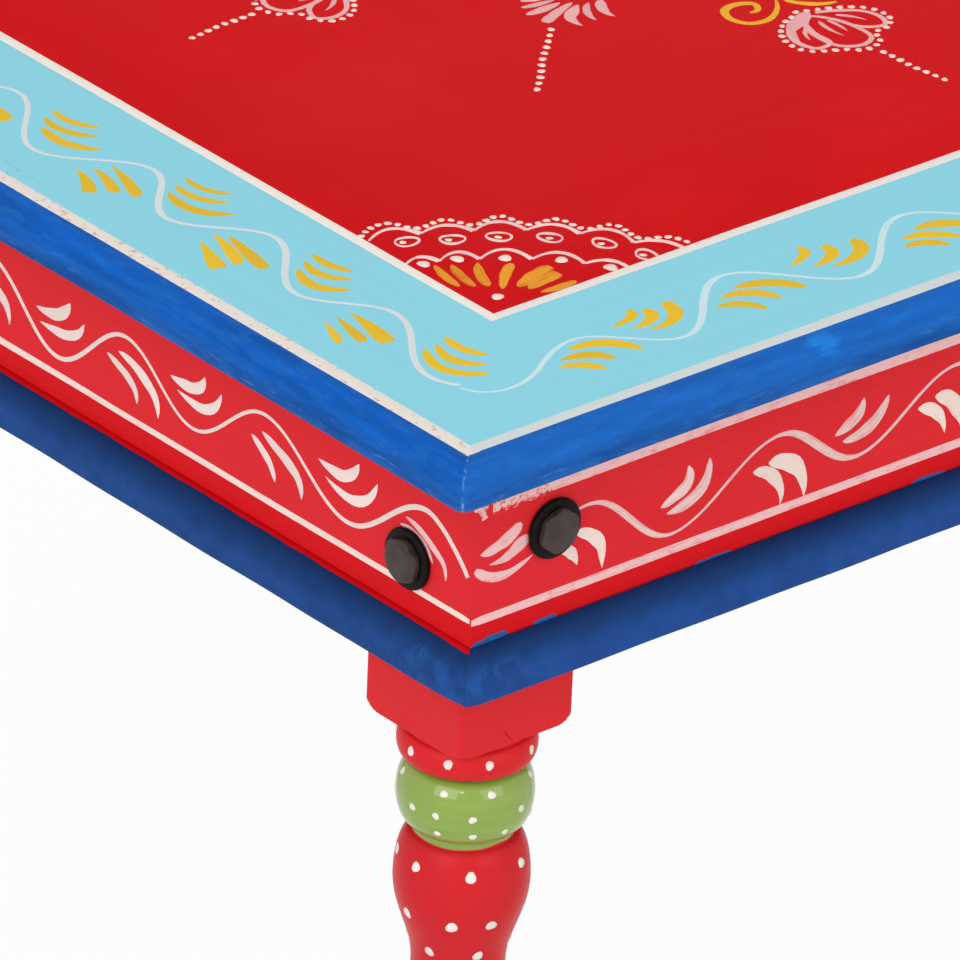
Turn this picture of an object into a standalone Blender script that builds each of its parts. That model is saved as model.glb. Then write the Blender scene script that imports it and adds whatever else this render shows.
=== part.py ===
"""Square hand-painted coffee table: a top board on a mitred apron, with turned legs bolted in its corners.

Metres, +Z up, origin on the floor under the middle of the table. The front rail faces -Y. Each side is laid
out as the front side and turned about Z by quarter turns, with the leg at its left-hand end. The front and
back rails are thicker than the left and right ones, so the legs stand a little nearer the left and right.
"""

import math

import bmesh
import bpy
from mathutils import Matrix, Vector

# Clearances
CONTACT_GAP = 0.0003  # between faces that rest on each other
MITRE_GAP = 0.0001  # across the glued mitres of the rails and the mouldings
BORE_CLEARANCE = 0.0004  # around a bolt, an insert or a screw in its hole
TIP_CLEARANCE = 0.002  # beyond the end of a bolt or a screw in its hole

# Top board
TOP_SIDE = 0.610
TOP_THICKNESS = 0.015
TOP_EDGE_RADIUS = 0.008  # round-over of the upper edge
TOP_UNDER_RADIUS = 0.003  # softened lower edge
TOP_CORNER_RADIUS = 0.004  # the four corners, seen from above

# Apron rails and the moulding under them
APRON_INSET = 0.046  # outer face of a rail, in from the edge of the top
APRON_HEIGHT = 0.081
FRONT_RAIL_THICKNESS = 0.014  # front and back rails
SIDE_RAIL_THICKNESS = 0.010  # left and right rails
MOULDING_HEIGHT = 0.018
MOULDING_PROJECTION = 0.007  # beyond the outer face of the rail
MOULDING_ROUND_HEIGHT = 0.011  # the rounded upper part of its face
MOULDING_ARRIS = 0.0012  # softened lower edge

# Leg block
LEG_BLOCK_SIDE = 0.048
LEG_BLOCK_SHOWING = 0.0340  # below the moulding
LEG_BLOCK_ARRIS = 0.0008  # softened edges
POMMEL_HEIGHT = 0.0055  # rounding of the block's lower corners on the lathe
POMMEL_FLAT_RADIUS = 0.0300  # flat ring under the block

# Turned part of a leg, from the block down
COLLAR_HEIGHT = 0.0034
RING_HEIGHT = 0.0106
RING_EDGE_RADIUS = 0.0207
RING_RADIUS = 0.0234
GROOVE_HEIGHT = 0.0019
BALL_HEIGHT = 0.0232
BALL_EDGE_RADIUS = 0.0175
BALL_RADIUS = 0.0230
NECK_HEIGHT = 0.0053
NECK_RADIUS = 0.0173
VASE_SHOULDER_HEIGHT = 0.0155
VASE_RADIUS = 0.0228
VASE_WAIST_HEIGHT = 0.032
WAIST_RADIUS = 0.01575
SHAFT_HEIGHT = 0.0605
SHAFT_END_RADIUS = 0.0135
LOWER_RING_HEIGHT = 0.009
LOWER_RING_RADIUS = 0.0190
LOWER_GROOVE_HEIGHT = 0.002
LOWER_BALL_HEIGHT = 0.024
LOWER_BALL_RADIUS = 0.0210
LOWER_EDGE_RADIUS = 0.0155  # of the lower ring, ball and neck
LOWER_NECK_HEIGHT = 0.004
FOOT_SHOULDER_HEIGHT = 0.014
FOOT_RADIUS = 0.0185
FOOT_TAPER_HEIGHT = 0.052
FOOT_END_RADIUS = 0.0125
FOOT_ARRIS = 0.001  # softened edge on the floor

# Bolts, washers and inserts at the corners
BOLT_DIAMETER = 0.010
BOLT_LENGTH = 0.028  # under the head
BOLT_HEAD_ACROSS_FLATS = 0.016
BOLT_HEAD_HEIGHT = 0.0022  # a low head
BOLT_HEAD_CHAMFER = 0.0006
BOLT_HEAD_TURN = math.radians(40)  # as it came to rest when tightened
LOW_BOLT_NEARER_CORNER = 0.0074  # off the middle of the leg block, towards the corner of the apron
HIGH_BOLT_NEARER_CORNER = 0.0012
LOW_BOLT_HEIGHT = 0.0195  # above the lower edge of the rail
WOOD_BETWEEN_INSERTS = 0.0014  # the high bolt passes over the low one inside the block
WASHER_RIM = 0.00485  # from the hole of the washer to its edge
WASHER_THICKNESS = 0.002
INSERT_WALL = 0.0010
INSERT_LENGTH = 0.018

# Cleats and screws under the top
CLEAT_HEIGHT = 0.018
CLEAT_WIDTH = 0.018
CLEAT_END_GAP = 0.025  # from each end to the leg block
SCREW_DIAMETER = 0.004
SCREW_HEAD_DIAMETER = 0.008
SCREW_HEAD_HEIGHT = 0.0026
SCREW_COVER = 0.005  # wood left over the screw's hole in the top board
SCREW_END_DISTANCE = 0.060  # from the end of the cleat

# Facets of the round shapes
LEG_STEPS = 18
BEAD_STEPS = 6
CURVE_STEPS = 4
BOLT_STEPS = 16
SCREW_STEPS = 10
CORNER_STEPS = 3
EDGE_STEPS = 5
SMOOTH_ANGLE = math.radians(35)

# Levels, from the floor up
BLOCK_BOTTOM = sum((
    COLLAR_HEIGHT, RING_HEIGHT, GROOVE_HEIGHT, BALL_HEIGHT, NECK_HEIGHT, VASE_SHOULDER_HEIGHT,
    VASE_WAIST_HEIGHT, SHAFT_HEIGHT, LOWER_RING_HEIGHT, LOWER_GROOVE_HEIGHT, LOWER_BALL_HEIGHT,
    LOWER_NECK_HEIGHT, FOOT_SHOULDER_HEIGHT, FOOT_TAPER_HEIGHT,
))
MOULDING_BOTTOM = BLOCK_BOTTOM + LEG_BLOCK_SHOWING
MOULDING_TOP = MOULDING_BOTTOM + MOULDING_HEIGHT
APRON_BOTTOM = MOULDING_TOP + CONTACT_GAP
APRON_TOP = APRON_BOTTOM + APRON_HEIGHT
TOP_BOTTOM = APRON_TOP + CONTACT_GAP
CLEAT_TOP = TOP_BOTTOM - CONTACT_GAP
CLEAT_BOTTOM = CLEAT_TOP - CLEAT_HEIGHT
SCREW_HOLE_TOP = TOP_BOTTOM + TOP_THICKNESS - SCREW_COVER
SCREW_TIP = SCREW_HOLE_TOP - TIP_CLEARANCE

# Distances from the middle of the table
APRON_FACE = TOP_SIDE / 2 - APRON_INSET
WASHER_OUTSIDE = APRON_FACE + CONTACT_GAP + WASHER_THICKNESS
HEAD_SEAT = WASHER_OUTSIDE + CONTACT_GAP
BOLT_TIP = HEAD_SEAT - BOLT_LENGTH
THINNER_RAIL = min(FRONT_RAIL_THICKNESS, SIDE_RAIL_THICKNESS)
BOLT_DEPTH = APRON_FACE - THINNER_RAIL - CONTACT_GAP - BOLT_TIP  # into the leg block, at most

# Radii of the holes and of what goes into them
BOLT_HOLE_RADIUS = BOLT_DIAMETER / 2 + BORE_CLEARANCE
WASHER_RADIUS = BOLT_HOLE_RADIUS + WASHER_RIM
INSERT_RADIUS = BOLT_HOLE_RADIUS + INSERT_WALL
INSERT_HOLE_RADIUS = INSERT_RADIUS + BORE_CLEARANCE
SCREW_HOLE_RADIUS = SCREW_DIAMETER / 2 + BORE_CLEARANCE

# The four sides, each a quarter turn on from the one before, and the leg at each one's left-hand end
SIDES = ("front", "right", "back", "left")
LEG_CORNERS = ("front_left", "front_right", "back_right", "back_left")
LEFT_END, RIGHT_END = -1, 1
LOW_BOLT_LEVEL = APRON_BOTTOM + LOW_BOLT_HEIGHT
HIGH_BOLT_LEVEL = LOW_BOLT_LEVEL + 2 * INSERT_RADIUS + WOOD_BETWEEN_INSERTS


class Side:
    """Distances of one kind of side, from its own rail's thickness and that of the rails it meets."""

    def __init__(self, thickness, next_thickness):
        self.thickness = thickness
        self.next_thickness = next_thickness
        self.block_face = APRON_FACE - thickness - CONTACT_GAP
        self.leg_axis = self.block_face - LEG_BLOCK_SIDE / 2
        self.leg_along = APRON_FACE - next_thickness - CONTACT_GAP - LEG_BLOCK_SIDE / 2
        self.high_bolt = (LEFT_END * (self.leg_along + HIGH_BOLT_NEARER_CORNER), HIGH_BOLT_LEVEL)
        self.low_bolt = (RIGHT_END * (self.leg_along + LOW_BOLT_NEARER_CORNER), LOW_BOLT_LEVEL)
        self.cleat_half_length = self.leg_along - LEG_BLOCK_SIDE / 2 - CLEAT_END_GAP
        self.screw_along = self.cleat_half_length - SCREW_END_DISTANCE
        self.screw_across = self.block_face - CLEAT_WIDTH / 2


FRONT_KIND = Side(FRONT_RAIL_THICKNESS, SIDE_RAIL_THICKNESS)
SIDE_KIND = Side(SIDE_RAIL_THICKNESS, FRONT_RAIL_THICKNESS)
KINDS = (FRONT_KIND, SIDE_KIND, FRONT_KIND, SIDE_KIND)


# Scene and materials

def clear_scene():
    for obj in list(bpy.data.objects):
        bpy.data.objects.remove(obj, do_unlink=True)


def finish(name, colour, roughness, metallic=0.0):
    """A plain Principled material."""
    material = bpy.data.materials.new(name)
    material.use_nodes = True
    shader = material.node_tree.nodes["Principled BSDF"]
    shader.inputs["Base Color"].default_value = (*colour, 1.0)
    shader.inputs["Roughness"].default_value = roughness
    shader.inputs["Metallic"].default_value = metallic
    return material


def add_object(name, mesh, material=None):
    obj = bpy.data.objects.new(name, mesh)
    bpy.context.collection.objects.link(obj)
    if material:
        mesh.materials.clear()
        mesh.materials.append(material)
    return obj


def place(obj, turn, location=(0, 0, 0)):
    """Puts an object of the front side on the side that is this many quarter turns on."""
    angle = turn * math.pi / 2
    obj.location = Matrix.Rotation(angle, 3, "Z") @ Vector(location)
    obj.rotation_euler.z = angle
    return obj


# Mesh builders

def mesh_of(name, bm):
    bmesh.ops.recalc_face_normals(bm, faces=bm.faces)
    mesh = bpy.data.meshes.new(name)
    bm.to_mesh(mesh)
    bm.free()
    return mesh


def box_mesh(name, low, high):
    bm = bmesh.new()
    size = Vector(high) - Vector(low)
    middle = (Vector(high) + Vector(low)) / 2
    transform = Matrix.Translation(middle) @ Matrix.Diagonal((*size, 1.0))
    bmesh.ops.create_cube(bm, size=1.0, matrix=transform)
    return mesh_of(name, bm)


def loft_mesh(name, loops):
    """A closed solid through loops of as many points each, with its two ends filled."""
    bm = bmesh.new()
    rows = [[bm.verts.new(point) for point in loop] for loop in loops]
    for row, following in zip(rows, rows[1:]):
        for i in range(len(row)):
            j = (i + 1) % len(row)
            bm.faces.new((row[i], row[j], following[j], following[i]))
    bm.faces.new(rows[0])
    bm.faces.new(rows[-1])
    return mesh_of(name, bm)


def turned_object(name, outline, steps, along_y=False):
    """(radius, height) points, from the top down, turned about Z. Along Y, the heights run to +Y."""
    mesh = bpy.data.meshes.new(name)
    points = [(radius, 0, height) for radius, height in outline]
    mesh.from_pydata(points, [(i, i + 1) for i in range(len(points) - 1)], [])
    obj = add_object(name, mesh)
    screw = obj.modifiers.new("Turn", "SCREW")
    screw.axis = "Z"
    screw.angle = 2 * math.pi
    screw.steps = screw.render_steps = steps
    screw.use_merge_vertices = True
    screw.merge_threshold = 0.00001
    if along_y:
        obj.rotation_euler.x = -math.pi / 2
    return obj


def hole_cutter(radius, low, high, steps, along_y=False):
    """A plain cylinder between two levels."""
    cutter = turned_object("cutter", [(0, high), (radius, high), (radius, low), (0, low)], steps, along_y)
    cutter.hide_render = True
    cutter.display_type = "WIRE"
    return cutter


def combine(obj, operation, tool):
    boolean = obj.modifiers.new(operation.title(), "BOOLEAN")
    boolean.operation = operation
    boolean.object = tool
    boolean.solver = "EXACT"


def applied_mesh(obj, helpers=()):
    """The object's finished mesh where it stands. The object and its helpers are removed."""
    bpy.context.view_layer.update()
    evaluated = obj.evaluated_get(bpy.context.evaluated_depsgraph_get())
    mesh = bpy.data.meshes.new_from_object(evaluated)
    mesh.transform(obj.matrix_world)
    mesh.name = obj.name
    mesh.shade_smooth()
    mesh.set_sharp_from_angle(angle=SMOOTH_ANGLE)
    for used in (obj, *helpers):
        bpy.data.objects.remove(used, do_unlink=True)
    return mesh


def drilled_mesh(obj, cutters):
    for cutter in cutters:
        combine(obj, "DIFFERENCE", cutter)
    return applied_mesh(obj, cutters)


# Outlines

def quarter_turn(steps):
    """Angles from nothing to a right angle."""
    return [math.pi / 2 * i / steps for i in range(steps + 1)]


def bead(top, height, edge, widest):
    """A half ellipse: from the edge radius out to the widest and back, going down from the top."""
    angles = [math.pi * i / BEAD_STEPS for i in range(BEAD_STEPS + 1)]
    return [(edge + (widest - edge) * math.sin(a), top - height * (1 - math.cos(a)) / 2) for a in angles]


def shoulder(top, height, edge, widest):
    """A quarter ellipse: from the edge radius at the top out to the widest at the bottom."""
    angles = quarter_turn(CURVE_STEPS)
    return [(edge + (widest - edge) * math.sin(a), top - height * (1 - math.cos(a))) for a in angles]


def taper(top, height, start, end):
    """A cosine easing from one radius to another, without its first point."""
    shares = [i / CURVE_STEPS for i in range(1, CURVE_STEPS + 1)]
    return [(start + (end - start) * (1 - math.cos(math.pi * s)) / 2, top - height * s) for s in shares]


def leg_outline():
    """The turned part of a leg, from just inside the block down to the floor."""
    inside = BLOCK_BOTTOM + COLLAR_HEIGHT
    level = BLOCK_BOTTOM - COLLAR_HEIGHT
    outline = [(0, inside), (RING_EDGE_RADIUS, inside)]
    outline += bead(level, RING_HEIGHT, RING_EDGE_RADIUS, RING_RADIUS)
    level -= RING_HEIGHT + GROOVE_HEIGHT
    outline += bead(level, BALL_HEIGHT, BALL_EDGE_RADIUS, BALL_RADIUS)
    level -= BALL_HEIGHT + NECK_HEIGHT
    outline += shoulder(level, VASE_SHOULDER_HEIGHT, NECK_RADIUS, VASE_RADIUS)
    level -= VASE_SHOULDER_HEIGHT
    outline += taper(level, VASE_WAIST_HEIGHT, VASE_RADIUS, WAIST_RADIUS)
    level -= VASE_WAIST_HEIGHT
    outline += taper(level, SHAFT_HEIGHT, WAIST_RADIUS, SHAFT_END_RADIUS)
    level -= SHAFT_HEIGHT
    outline += bead(level, LOWER_RING_HEIGHT, LOWER_EDGE_RADIUS, LOWER_RING_RADIUS)
    level -= LOWER_RING_HEIGHT + LOWER_GROOVE_HEIGHT
    outline += bead(level, LOWER_BALL_HEIGHT, LOWER_EDGE_RADIUS, LOWER_BALL_RADIUS)
    level -= LOWER_BALL_HEIGHT + LOWER_NECK_HEIGHT
    outline += shoulder(level, FOOT_SHOULDER_HEIGHT, LOWER_EDGE_RADIUS, FOOT_RADIUS)
    level -= FOOT_SHOULDER_HEIGHT
    outline += taper(level, level - FOOT_ARRIS, FOOT_RADIUS, FOOT_END_RADIUS)
    outline += [(FOOT_END_RADIUS - FOOT_ARRIS, 0), (0, 0)]
    return outline


def pommel_outline():
    """What the lathe leaves of the block: all but its lower corners, cut to a quarter ellipse."""
    corner = LEG_BLOCK_SIDE / math.sqrt(2)
    outline = [(0, TOP_BOTTOM), (corner, TOP_BOTTOM)]
    for angle in quarter_turn(EDGE_STEPS):
        radius = POMMEL_FLAT_RADIUS + (corner - POMMEL_FLAT_RADIUS) * math.cos(angle)
        outline.append((radius, BLOCK_BOTTOM + POMMEL_HEIGHT * (1 - math.sin(angle))))
    below = BLOCK_BOTTOM - COLLAR_HEIGHT
    outline += [(POMMEL_FLAT_RADIUS, below), (0, below)]
    return outline


def hexagon_outline():
    """The bolt head through its corners: turned in six steps, it makes the hexagon."""
    corner = BOLT_HEAD_ACROSS_FLATS / math.sqrt(3)
    return [
        (0, 0),
        (corner, 0),
        (corner, BOLT_HEAD_CHAMFER - BOLT_HEAD_HEIGHT),
        (corner - 2 * BOLT_HEAD_CHAMFER, -BOLT_HEAD_HEIGHT),
        (0, -BOLT_HEAD_HEIGHT),
    ]


def rounded_square(half, radius, level):
    """A square loop with arcs for corners, at one height."""
    loop = []
    for corner in range(4):
        start = corner * math.pi / 2
        middle = Matrix.Rotation(start, 2) @ Vector((half - radius, half - radius))
        for angle in quarter_turn(CORNER_STEPS):
            reach = radius * math.cos(start + angle), radius * math.sin(start + angle)
            loop.append((middle.x + reach[0], middle.y + reach[1], level))
    return loop


# Pieces

def screw_holes(kind, low, high, turn=0):
    """Cutters for the two screws behind the rail of a side."""
    cutters = []
    for end in (LEFT_END, RIGHT_END):
        cutter = hole_cutter(SCREW_HOLE_RADIUS, low, high, SCREW_STEPS)
        cutters.append(place(cutter, turn, (end * kind.screw_along, -kind.screw_across, 0)))
    return cutters


def bolt_hole(bolt, radius, low, high, turn=0):
    """A cutter along a bolt of one side, between two places along Y as on the front side."""
    along, level = bolt
    return place(hole_cutter(radius, low, high, BOLT_STEPS, along_y=True), turn, (along, 0, level))


def top_mesh():
    """The board: square loops that follow its edge from the underside up, and holes for the screws."""
    under = min(TOP_UNDER_RADIUS, TOP_THICKNESS / 2)
    over = min(TOP_EDGE_RADIUS, TOP_THICKNESS - under)
    edge = []
    for angle in quarter_turn(CORNER_STEPS):
        edge.append((under * (1 - math.sin(angle)), TOP_BOTTOM + under * (1 - math.cos(angle))))
    for angle in quarter_turn(EDGE_STEPS):
        rise = over * (1 - math.sin(angle))
        edge.append((over * (1 - math.cos(angle)), TOP_BOTTOM + TOP_THICKNESS - rise))
    loops = []
    for inset, level in edge:
        corner = max(TOP_CORNER_RADIUS - inset, CONTACT_GAP)
        loops.append(rounded_square(TOP_SIDE / 2 - inset, corner, level))
    board = add_object("top_board", loft_mesh("top_board", loops))
    cutters = []
    for turn, kind in enumerate(KINDS):
        cutters += screw_holes(kind, TOP_BOTTOM - CONTACT_GAP, SCREW_HOLE_TOP, turn)
    return drilled_mesh(board, cutters)


def mitred_object(name, kind, section):
    """A length of a side with this section of (outward, height) points, mitred from corner to corner."""
    setback = MITRE_GAP / math.sqrt(2)
    reach = max(out for out, level in section)
    slope = (reach + kind.next_thickness) / (reach + kind.thickness)
    ends = []
    for end in (LEFT_END, RIGHT_END):
        lengths = [APRON_FACE + reach - (reach - out) * slope - setback for out, level in section]
        ends.append([(end * x, -APRON_FACE - out, level) for x, (out, level) in zip(lengths, section)])
    return add_object(name, loft_mesh(name, ends))


def apron_mesh(kind):
    back = -kind.thickness
    section = [(0, APRON_BOTTOM), (0, APRON_TOP), (back, APRON_TOP), (back, APRON_BOTTOM)]
    outside, inside = -APRON_FACE - CONTACT_GAP, CONTACT_GAP + kind.thickness - APRON_FACE
    holes = [bolt_hole(bolt, BOLT_HOLE_RADIUS, outside, inside) for bolt in (kind.high_bolt, kind.low_bolt)]
    return drilled_mesh(mitred_object("apron", kind, section), holes)


def moulding_mesh(kind):
    """A rounded face that starts flush with the rail, a straight drop and a softened lower edge."""
    round_height = min(MOULDING_ROUND_HEIGHT, MOULDING_HEIGHT - MOULDING_ARRIS)
    section = [(-kind.thickness, MOULDING_BOTTOM), (-kind.thickness, MOULDING_TOP)]
    for angle in quarter_turn(EDGE_STEPS):
        drop = round_height * (1 - math.cos(angle))
        section.append((MOULDING_PROJECTION * math.sin(angle), MOULDING_TOP - drop))
    section.append((MOULDING_PROJECTION, MOULDING_BOTTOM + MOULDING_ARRIS))
    section.append((MOULDING_PROJECTION - MOULDING_ARRIS, MOULDING_BOTTOM))
    return applied_mesh(mitred_object("moulding", kind, section))


def leg_mesh():
    """A leg about its own axis, as at the left-hand end of the front side, with its bolts' pockets."""
    half = LEG_BLOCK_SIDE / 2
    block = box_mesh("leg", (-half, -half, BLOCK_BOTTOM), (half, half, TOP_BOTTOM - CONTACT_GAP))
    leg = add_object("leg", block)
    arris = leg.modifiers.new("Arris", "BEVEL")
    arris.width = LEG_BLOCK_ARRIS
    arris.segments = 1
    pommel = turned_object("pommel", pommel_outline(), LEG_STEPS)
    spindle = turned_object("spindle", leg_outline(), LEG_STEPS)
    combine(leg, "INTERSECT", pommel)
    combine(leg, "UNION", spindle)
    pocket = (INSERT_HOLE_RADIUS, -half - CONTACT_GAP, INSERT_LENGTH + CONTACT_GAP - half)
    tip = (BOLT_HOLE_RADIUS, -half - CONTACT_GAP, BOLT_DEPTH + TIP_CLEARANCE - half)
    cutters = []
    for hole in (pocket, tip):
        cutters.append(bolt_hole((LEFT_END * HIGH_BOLT_NEARER_CORNER, HIGH_BOLT_LEVEL), *hole))
        # The low bolt of the side before this one enters the same leg.
        cutters.append(bolt_hole((RIGHT_END * LOW_BOLT_NEARER_CORNER, LOW_BOLT_LEVEL), *hole, turn=-1))
    for cutter in cutters:
        combine(leg, "DIFFERENCE", cutter)
    return applied_mesh(leg, [pommel, spindle, *cutters])


def bolt_mesh():
    """A hex-head bolt along Y with its head towards -Y and its seat at the origin."""
    radius = BOLT_DIAMETER / 2
    inside_head = -BOLT_HEAD_HEIGHT / 2
    outline = [
        (0, BOLT_LENGTH),
        (radius - BOLT_HEAD_CHAMFER, BOLT_LENGTH),
        (radius, BOLT_LENGTH - BOLT_HEAD_CHAMFER),
        (radius, inside_head),
        (0, inside_head),
    ]
    head = turned_object("bolt", hexagon_outline(), 6, along_y=True)
    head.rotation_euler.y = BOLT_HEAD_TURN
    shank = turned_object("shank", outline, BOLT_STEPS, along_y=True)
    combine(head, "UNION", shank)
    return applied_mesh(head, [shank])


def ring_mesh(name, outer, length):
    """A ring around a bolt, along Y from the origin."""
    inner = BOLT_HOLE_RADIUS
    outline = [(inner, length), (outer, length), (outer, 0), (inner, 0), (inner, length)]
    return applied_mesh(turned_object(name, outline, BOLT_STEPS, along_y=True))


def cleat_mesh(kind):
    """A strip under the top, behind the rail, with a hole for each of its screws."""
    low = (-kind.cleat_half_length, -kind.block_face, CLEAT_BOTTOM)
    high = (kind.cleat_half_length, -kind.block_face + CLEAT_WIDTH, CLEAT_TOP)
    cleat = add_object("cleat", box_mesh("cleat", low, high))
    return drilled_mesh(cleat, screw_holes(kind, CLEAT_BOTTOM - CONTACT_GAP, CLEAT_TOP + CONTACT_GAP))


def screw_mesh():
    """A round-head wood screw, point up, with its seat under the cleat."""
    radius = SCREW_DIAMETER / 2
    seat = CLEAT_BOTTOM - CONTACT_GAP
    outline = [(0, SCREW_TIP), (radius, SCREW_TIP - SCREW_DIAMETER), (radius, seat)]
    for angle in quarter_turn(CORNER_STEPS)[:-1]:
        drop = SCREW_HEAD_HEIGHT * math.sin(angle)
        outline.append((SCREW_HEAD_DIAMETER / 2 * math.cos(angle), seat - drop))
    outline.append((0, seat - SCREW_HEAD_HEIGHT))
    return applied_mesh(turned_object("screw", outline, SCREW_STEPS))


def main():
    clear_scene()
    red = finish("red_paint", (0.60, 0.011, 0.014), 0.45)
    blue = finish("blue_paint", (0.010, 0.100, 0.45), 0.45)
    leg_red = finish("leg_red_paint", (0.61, 0.031, 0.036), 0.40)
    black = finish("black_steel", (0.035, 0.030, 0.028), 0.45, 0.6)
    zinc = finish("zinc_steel", (0.55, 0.55, 0.52), 0.35, 1.0)
    wood = finish("bare_wood", (0.52, 0.34, 0.18), 0.65)

    add_object("top_board", top_mesh(), red)
    aprons = {kind: apron_mesh(kind) for kind in (FRONT_KIND, SIDE_KIND)}
    mouldings = {kind: moulding_mesh(kind) for kind in (FRONT_KIND, SIDE_KIND)}
    cleats = {kind: cleat_mesh(kind) for kind in (FRONT_KIND, SIDE_KIND)}
    leg, bolt, screw = leg_mesh(), bolt_mesh(), screw_mesh()
    washer = ring_mesh("washer", WASHER_RADIUS, WASHER_THICKNESS)
    insert = ring_mesh("insert", INSERT_RADIUS, INSERT_LENGTH)

    for turn, (side, corner, kind) in enumerate(zip(SIDES, LEG_CORNERS, KINDS)):
        place(add_object(f"apron_{side}", aprons[kind], red), turn)
        place(add_object(f"moulding_{side}", mouldings[kind], blue), turn)
        place(add_object(f"leg_{corner}", leg, leg_red), turn, (-kind.leg_along, -kind.leg_axis, 0))
        place(add_object(f"cleat_{side}", cleats[kind], wood), turn)
        for name, (along, level) in (("high", kind.high_bolt), ("low", kind.low_bolt)):
            place(add_object(f"bolt_{side}_{name}", bolt, black), turn, (along, -HEAD_SEAT, level))
            place(add_object(f"washer_{side}_{name}", washer, black), turn, (along, -WASHER_OUTSIDE, level))
            place(add_object(f"insert_{side}_{name}", insert, zinc), turn, (along, -kind.block_face, level))
        for name, end in (("left", LEFT_END), ("right", RIGHT_END)):
            at = (end * kind.screw_along, -kind.screw_across, 0)
            place(add_object(f"cleat_screw_{side}_{name}", screw, zinc), turn, at)


main()
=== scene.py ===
"""Hand-painted coffee table as an add-on: fine surfaces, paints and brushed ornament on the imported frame."""

import math

import bpy
import numpy as np
from bpy.props import FloatProperty, FloatVectorProperty, PointerProperty
from mathutils import Matrix, Vector


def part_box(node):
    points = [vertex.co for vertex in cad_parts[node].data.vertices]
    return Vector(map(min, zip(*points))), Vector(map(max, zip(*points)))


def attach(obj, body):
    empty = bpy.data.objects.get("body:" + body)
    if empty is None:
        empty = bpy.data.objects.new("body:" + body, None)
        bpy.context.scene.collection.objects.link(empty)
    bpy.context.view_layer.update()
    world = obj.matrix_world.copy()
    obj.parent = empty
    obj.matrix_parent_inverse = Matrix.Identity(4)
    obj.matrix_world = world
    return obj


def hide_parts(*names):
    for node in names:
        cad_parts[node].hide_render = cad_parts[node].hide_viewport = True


bl_info = {
    "name": "Hand-painted coffee table",
    "version": (1, 0, 0),
    "blender": (4, 5, 0),
    "location": "3D View > Sidebar > Coffee table",
    "description": "Dresses the packed coffee table in fine surfaces, paints and brushed ornament",
    "category": "Object",
}

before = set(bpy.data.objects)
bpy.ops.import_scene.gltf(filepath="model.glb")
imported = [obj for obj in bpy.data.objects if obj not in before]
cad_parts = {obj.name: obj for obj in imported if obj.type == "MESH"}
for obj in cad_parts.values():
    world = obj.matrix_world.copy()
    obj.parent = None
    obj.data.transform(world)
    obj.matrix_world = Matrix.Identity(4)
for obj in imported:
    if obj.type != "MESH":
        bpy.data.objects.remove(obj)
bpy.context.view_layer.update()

TOP_LOW, TOP_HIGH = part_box("top_board")
RAIL_LOW, RAIL_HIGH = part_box("apron_front")
MOULDING_LOW, MOULDING_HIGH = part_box("moulding_front")
TOP_HALF, TOP_LEVEL = float(TOP_HIGH[0]), float(TOP_HIGH[2])
RAIL_FACE, RAIL_FOOT = -float(RAIL_LOW[1]), float(RAIL_LOW[2])

# Each side by the direction to the right along it, seen from outside, and the direction out of it.
SIDES = {
    "front": ((1, 0, 0), (0, -1, 0)),
    "right": ((0, 1, 0), (1, 0, 0)),
    "back": ((-1, 0, 0), (0, 1, 0)),
    "left": ((0, -1, 0), (-1, 0, 0)),
}
LEGS = ("front_left", "front_right", "back_right", "back_left")  # each a quarter turn on from the one before

# The camera's place in metres, its right, up and backward directions, and its lens for a 36 mm sensor.
CAMERA_PLACE = (-2.37478275, -2.66673750, 2.06389397)
CAMERA_RIGHT = (0.76353214, -0.64465200, 0.03797989)
CAMERA_UP = (0.27588629, 0.37880808, 0.88339753)
CAMERA_BACK = (-0.58387107, -0.66402427, 0.46708279)
CAMERA_LENS = 427.32

FLOOR_HALF, FLOOR_LEVEL = 8.0, -0.0004  # in metres
BOARD_MIDDLE = 0.0006  # half width of the last square in the middle of the board's faces, in metres
# How far in the board's edge wavers, how much, and how far it stands back for that, in metres.
EDGE_BAND, EDGE_WAVER, EDGE_BACK = 0.012, 0.00022, 0.0003
MOULDING_WAVER = 0.00016  # in metres
EDGE_PATCH = (-0.1516, -0.3002, 0.4053)  # middle of a paler patch on the board's front edge, in metres
EVEN = (0.004, 0.004)  # swell of a line that keeps its width to its ends
# For each moulding, the side that it meets in its mitres and how far in metres its worn ends reach along
# it.
MOULDING_ENDS = {
    "front": ("left", 0.004), "right": ("back", 0.012), "back": ("right", 0.004), "left": ("front", 0.012),
}

# Ornament on the top's border, in millimetres: (distance along the side from the corner, distance in from
# the outer line). The left and front sides are listed; the right and back sides repeat them after a half
# turn. The vines go on at an even step to their end, and the leaves with them.
BORDER_LENGTH, VINE_END, LEAVES_END = 590.0, 548.0, 540.0
LEFT_VINE_STEP, FRONT_VINE_STEP, VINE_WIDTH = 33.5, 37.3, 2.5
LEFT_VINE_START = ((37.9, 29.1), (42.0, 26.4))
LEFT_VINE_TURNS = (
    (48.5, 24.9), (88.6, 44.4), (118.0, 27.3), (153.0, 47.4),
    (184.6, 27.5), (214.5, 46.3), (249.3, 23.6), (286.0, 46.0),
)
FRONT_VINE_START = ((27.9, 36.5), (29.7, 32.5), (32.5, 29.6), (36.2, 27.8))
FRONT_VINE_TURNS = ((41.5, 27.1), (78.5, 41.0), (109.0, 21.5), (147.0, 47.1), (184.0, 20.4), (223.3, 45.4))
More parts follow.
